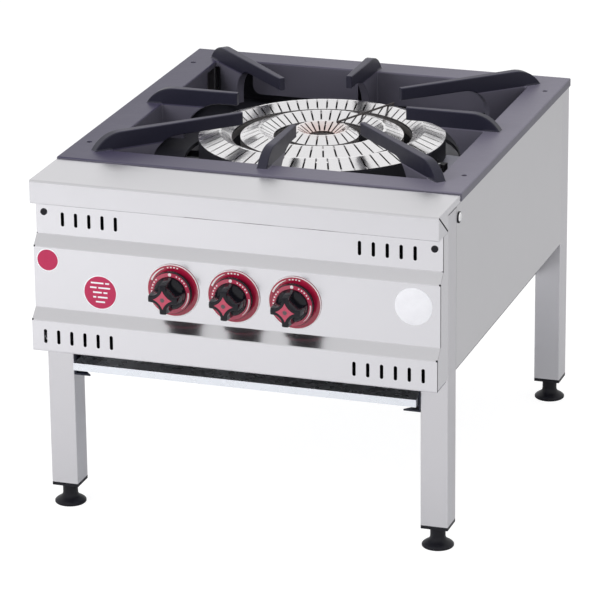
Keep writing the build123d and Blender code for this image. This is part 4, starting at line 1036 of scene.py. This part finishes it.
    def _seams(self, material: Material) -> None:
        """Fill the open seams at both ends of the panel and the hood with dark strips of painted shadow, a
        hair proud.

        A strip runs down each face of the panel, a small dark relief block of painted shadow marks each of
        its folds, and a slanted strip runs along the hood's mitre.

        Args:
            material: Their finish.
        """
        panel_low, panel_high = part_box("control_panel")
        hood_low, hood_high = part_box("front_hood")
        strip = panel_high.x + self.seam_proud - self.seam_depth / 2
        relief = panel_high.x + self.seam_proud - self.relief[0] / 2
        behind = self.seam_behind + self.seam_width / 2
        upper, middle, lower = self.face + self.upper_step, self.face, panel_low.y
        strips = (
            (upper, self.upper_foot, hood_low.z),
            (middle, self.middle_foot, self.middle_top),
            (lower, panel_low.z + 2 * self.seam_behind, self.lower_top),
        )
        corners = ((upper, self.upper_foot), (middle, self.middle_top), (lower, self.lower_top))
        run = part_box("leg_front_left")[0].y - hood_low.y
        fall = hood_high.z - hood_low.z
        mitre = (self.seam_depth, self.mitre_share * math.hypot(run, fall), self.seam_width)
        bm = bmesh.new()
        for side in (-1, 1):
            for front, low, high in strips:
                size = (self.seam_depth, self.seam_width, high - low)
                add_block(bm, size, (side * strip, front + behind, (low + high) / 2))
            for front, corner in corners:
                y = front - self.seam_proud + self.relief[1] / 2
                add_block(bm, self.relief, (side * relief, y, corner))
            middle_point = (side * strip, hood_low.y + run / 2, hood_high.z - fall / 2)
            add_block(bm, mitre, middle_point, -math.atan2(fall, run))
        put(bm, "seam_shadows", material, "range")

    def _screw_caps(self, shade: Material) -> None:
        """Round the heads of the two side screws, each on a dark ring of painted shadow.

        Args:
            shade: The finish of the rings of painted shadow.
        """
        low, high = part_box("side_screws")
        middle = (low + high) / 2
        side_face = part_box("control_panel")[1].x
        bright = SheetMetal("bright_screw", (0.99, 0.99, 1.0), Grain.UPRIGHT, 0.2).material()
        discs = (
            ("cap", bright, (self.cap_radius, 0, self.cap_height, self.cap_round)),
            # A dark ring of painted shadow under each cap, set a little off its axis.
            ("shadow_ring", shade, (self.shadow_ring_radius, 0, self.shadow_ring_height, 0, (0, -self.shadow_ring_forward))),
        )
        for side, name in ((-1, "left"), (1, "right")):
            place = Matrix.Translation((side * side_face, middle.y, middle.z))
            place @= Matrix.Rotation(side * math.pi / 2, 4, "Y")
            for kind, finish, sizes in discs:
                bm = bmesh.new()
                add_disc(bm, *sizes)
                bmesh.ops.transform(bm, matrix=place, verts=bm.verts)
                put(bm, f"side_screw_{kind}_{name}", finish, "range")


# ---------------------------------------------------------------------------- cast top and burner
@dataclass
class Hob:
    """The cast top and the burner under it."""

    screw_sink: float = 2.5 * MM
    pale_reach: float = 138.5 * MM
    pale_drop: float = 11.0 * MM
    plate_skin: float = 0.1 * MM

    def build(self, nodes: Nodes) -> None:
        """Dress the nodes.

        Args:
            nodes: The frame's nodes by name.
        """
        low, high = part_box("burner_ring_outer")
        centre = tuple((low + high) / 2)
        plate_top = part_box("thermocouple")[0].z + self.plate_skin
        iron = BurnerIron("burner_iron", centre, self.pale_reach, low.z - self.pale_drop)
        top_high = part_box("cast_top")[1]
        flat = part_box("cast_top_screws")[1].z + self.screw_sink
        rings = [f"burner_ring_{ring}" for ring in ("outer", "middle", "inner")]
        dress(nodes, TopIron("coated_iron_with_painted_light", flat, top_high.z, top_high.x), "cast_top")
        dress(nodes, iron, "burner_body")
        dress(nodes, RingMetal("ring_metal", centre), *rings)
        dress(nodes, SheetMetal("scaled_rod", (0.10, 0.09, 0.09), Grain.ACROSS, 0.5), "flame_carry_bar")
        dress(nodes, PilotMetal("pilot_metal", plate_top), "pilot_burner")
        dress(nodes, SheetMetal("probe_steel", (0.80, 0.80, 0.82), Grain.UPRIGHT, 0.3), "thermocouple")


# ---------------------------------------------------------------------------- gas train
def each(*kinds: str) -> list[str]:
    """The left, centre and right node of each kind of piece."""
    return [f"{kind}_{side}" for kind in kinds for side in SIDES]


@dataclass
class GasTrain:
    """Pipes, taps, injectors and mixing tubes."""

    def build(self, nodes: Nodes) -> None:
        """Dress the nodes.

        Args:
            nodes: The frame's nodes by name.
        """
        brass = SheetMetal("turned_brass", (0.78, 0.57, 0.26), Grain.DEEP, 0.28)
        pipe = SheetMetal("drawn_pipe", (0.48, 0.48, 0.49), Grain.ACROSS, 0.4)
        plated = SheetMetal("plated_steel", (0.66, 0.66, 0.65), Grain.DEEP, 0.3)
        iron = CoatedIron("tube_iron", (0.06, 0.06, 0.062), 0.6, 0.1 * MM)
        dress(nodes, brass, "gas_injectors", *each("gas_tap", "tap_plug"))
        dress(nodes, pipe, "gas_manifold", "gas_inlet_pipe", "burner_pipes")
        dress(nodes, plated, "tap_bonnets", *each("tap_spring", "tap_spindle", "air_shutter"))
        dress(nodes, iron, "mixing_tubes")


# ---------------------------------------------------------------------------- knobs
@dataclass
class Dial:
    """A knob with its inlays and printed marks, and the marks on its round plate.

    Lengths are in metres, and angles in degrees from the right, anticlockwise. A tick is half its own angle
    and its width. Heights are distances from the panel towards the cook.
    """

    side: str
    face: float
    sharp_from: float = 35.0
    skirt: float = 30.5 * MM
    skirt_round: float = 0.8 * MM
    grip: float = 24.0 * MM
    grip_bend: float = 0.55
    grip_end: float = 0.90
    grip_round: float = 1.1 * MM
    bite: float = 15.0 * MM
    bite_centre: float = 28.5 * MM
    dome_inset: float = 0.3 * MM
    dome_height: float = 9.0 * MM
    dome_round: float = 8.5 * MM
    star: float = 14.0 * MM
    star_bite: float = 24.1 * MM
    star_centre: float = 31.8 * MM
    sunk: float = 0.1 * MM
    inlay: float = 0.8 * MM
    inlay_gap: float = 0.2 * MM
    inlay_inset: float = 0.9 * MM
    stud: float = 3.2 * MM
    stud_low: float = 0.2 * MM
    stud_high: float = 0.04 * MM
    stud_round: float = 0.1 * MM
    print: float = 0.06 * MM
    mark_radius: float = 27.2 * MM
    dot: float = 2.4 * MM
    knob_ticks: tuple[int, ...] = (*range(138, 189, 10), *range(28, 69, 10))
    knob_tick: Pair = (2.2, 1.9 * MM)
    knob_arc: Pair = (-52, 6)
    knob_arc_widths: Pair = (0.5 * MM, 2.0 * MM)
    outline_width: float = 1.1 * MM
    outline_depth: float = 0.9 * MM
    plate_ticks: tuple[int, ...] = (*range(78, 103, 8),)
    plate_tick: Pair = (2.0, 2.0 * MM)
    plate_tick_inset: float = 4.4 * MM
    plate_arc: Pair = (112, 158)
    plate_arc_inset: float = 4.2 * MM
    plate_arc_widths: Pair = (0.7 * MM, 2.8 * MM)

    def __post_init__(self) -> None:
        """Work out the knob's place and heights from the frame."""
        low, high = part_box(f"knob_{self.side}")
        trim_low, trim_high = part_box(f"knob_trim_{self.side}")
        middle = (low + high) / 2
        self.at = facing_cook(middle.x, self.face, middle.z)
        self.back, self.shelf = self.face - high.y, self.face - trim_high.y
        self.top, self.front = self.face - low.y, self.face - trim_low.y

    def build(self, finishes: dict[str, Material]) -> None:
        """Build the knob and its marks.

        Args:
            finishes: Materials named black, inlay, print and stud.
        """
        self._body(finishes["black"])
        self._inlays(finishes["inlay"])
        self._stud(finishes["stud"])
        self._knob_marks(finishes["print"])
        self._plate_marks(finishes["print"])

    def _put(self, bm: BMesh, name: str, material: Material, body: str) -> Object:
        """Move a shape from the dial's own axes to its place.

        Args:
            bm: The shape.
            name: The piece's name.
            material: Its finish.
            body: The body that it moves with.

        Returns:
            The piece.
        """
        bmesh.ops.transform(bm, matrix=self.at, verts=bm.verts)
        return put(bm, name, material, body, self.sharp_from)

    @staticmethod
    def _add_lobed(bm: BMesh, radius: float, bite: float, centre: float, z: float) -> BMFace:
        """Add a round face with four round bites, which leave a point up, down, left and right.

        Args:
            bm: The bmesh to add to.
            radius: Radius of the points.
            bite: Radius of a bite.
            centre: Distance of a bite's centre from the middle.
            z: The face's height.

        Returns:
            The face.
        """
        place = Matrix.Translation((0, 0, z))
        made = bmesh.ops.create_circle(bm, cap_ends=True, segments=LOBE_STEPS, radius=radius, matrix=place)
        for vert in made["verts"]:
            off = math.atan2(vert.co.y, vert.co.x) % (math.pi / 2) - math.pi / 4
            across = centre * math.sin(off)
            if abs(across) < bite:
                reach = centre * math.cos(off) - math.sqrt(bite**2 - across**2)
                vert.co.xy *= min(1.0, reach / radius)
        return made["verts"][0].link_faces[0]

    def _body(self, material: Material) -> None:
        """The black skirt, the domed foot of the grip and the grip with its four lobes.

        Args:
            material: The black plastic.
        """
        bm = bmesh.new()
        add_disc(bm, self.skirt, self.back, self.shelf, self.skirt_round)
        dome_top = self.shelf + self.dome_height
        add_disc(bm, self.grip - self.dome_inset, self.shelf - self.sunk, dome_top, self.dome_round)
        face = self._add_lobed(bm, self.grip, self.bite, self.bite_centre, self.shelf)
        height = self.top - self.shelf
        halfway = (1 + self.grip_end) / 2
        face = raise_face(bm, face, self.grip_bend * height, halfway)
        face = raise_face(bm, face, (1 - self.grip_bend) * height, self.grip_end / halfway)
        round_edges(bm, list(face.edges), self.grip_round)
        piece = self._put(bm, f"knob_{self.side}_body", material, f"knob_{self.side}")
        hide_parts(f"knob_{self.side}")

    def _inlays(self, material: Material) -> None:
        """The red ring on the skirt and the red star on the grip.

        Args:
            material: The red plastic.
        """
        bm = bmesh.new()
        inner, outer = self.grip + self.inlay_gap, self.skirt - self.inlay_inset
        add_ring(bm, inner, outer, self.shelf, self.shelf + self.inlay)
        face = self._add_lobed(bm, self.star, self.star_bite, self.star_centre, self.top - self.sunk)
        raise_face(bm, face, self.inlay)
        piece = self._put(bm, f"knob_{self.side}_inlays", material, f"knob_{self.side}")
        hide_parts(f"knob_trim_{self.side}")

    def _stud(self, material: Material) -> None:
        """The grey spot in the middle of the star.

        Args:
            material: The grey plastic.
        """
        bm = bmesh.new()
        add_disc(bm, self.stud, self.front - self.stud_low, self.front - self.stud_high, self.stud_round)
        self._put(bm, f"knob_{self.side}_stud", material, f"knob_{self.side}")

    def _knob_marks(self, material: Material) -> None:
        """The index dot, ticks and tapering arc on the ring.

        Args:
            material: The print.
        """
        bm = bmesh.new()
        low = self.shelf + self.inlay
        z = low + self.print
        add_disc(bm, self.dot, low, z, 0, (0, self.mark_radius))
        spread, width = self.knob_tick
        for angle in self.knob_ticks:
            add_arc(bm, self.mark_radius, (angle - spread, angle + spread), (width, width), z)
        add_arc(bm, self.mark_radius, self.knob_arc, self.knob_arc_widths, z)
        self._put(bm, f"knob_{self.side}_marks", material, f"knob_{self.side}")

    def _plate_marks(self, material: Material) -> None:
        """The outline, ticks and tapering arc on the round plate behind the knob.

        Args:
            material: The print.
        """
        bm = bmesh.new()
        low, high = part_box("knob_bezels")
        z = self.face - low.y + self.print
        radius = (high.z - low.z) / 2
        add_ring(bm, radius - self.outline_width, radius + self.print, z - self.outline_depth, z)
        spread, width = self.plate_tick
        for angle in self.plate_ticks:
            ticks = radius - self.plate_tick_inset
            add_arc(bm, ticks, (angle - spread, angle + spread), (width, width), z)
        add_arc(bm, radius - self.plate_arc_inset, self.plate_arc, self.plate_arc_widths, z)
        self._put(bm, f"bezel_{self.side}_marks", material, "range")


def build_dials(nodes: Nodes, face: float) -> None:
    """Finish the round plates and build the three knobs.

    Args:
        nodes: The frame's nodes by name.
        face: Where the panel's middle face is, along Y.
    """
    plate = Moulding("bezel_red", (0.38, 0.010, 0.045), 0.15, coat=0.6, coat_roughness=0.02)
    dress(nodes, plate, "knob_bezels")
    finishes = {
        "black": Moulding("knob_black", (0.005, 0.005, 0.009), 0.10, 0.002 * MM, index=1.38).material(),
        "inlay": Moulding("inlay_red", (0.46, 0.035, 0.085), 0.24, coat=0.7).material(),
        "print": Moulding("printed_white", (0.86, 0.80, 0.82)).material(),
        "stud": Moulding("stud_grey", (0.10, 0.07, 0.08)).material(),
    }
    for side in SIDES:
        Dial(side, face).build(finishes)


def main() -> None:
    """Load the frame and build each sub-assembly in order."""
    logging.basicConfig(level=logging.INFO, format="%(message)s")
    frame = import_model()
    nodes = frame["nodes"]
    bpy.context.scene.view_settings.view_transform = "Standard"
    bezel_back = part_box("knob_bezels")[1].y
    Studio().build()
    Casing(bezel_back).build(nodes)
    Hob().build(nodes)
    GasTrain().build(nodes)
    build_dials(nodes, bezel_back)


if __name__ == "__main__":
    main()
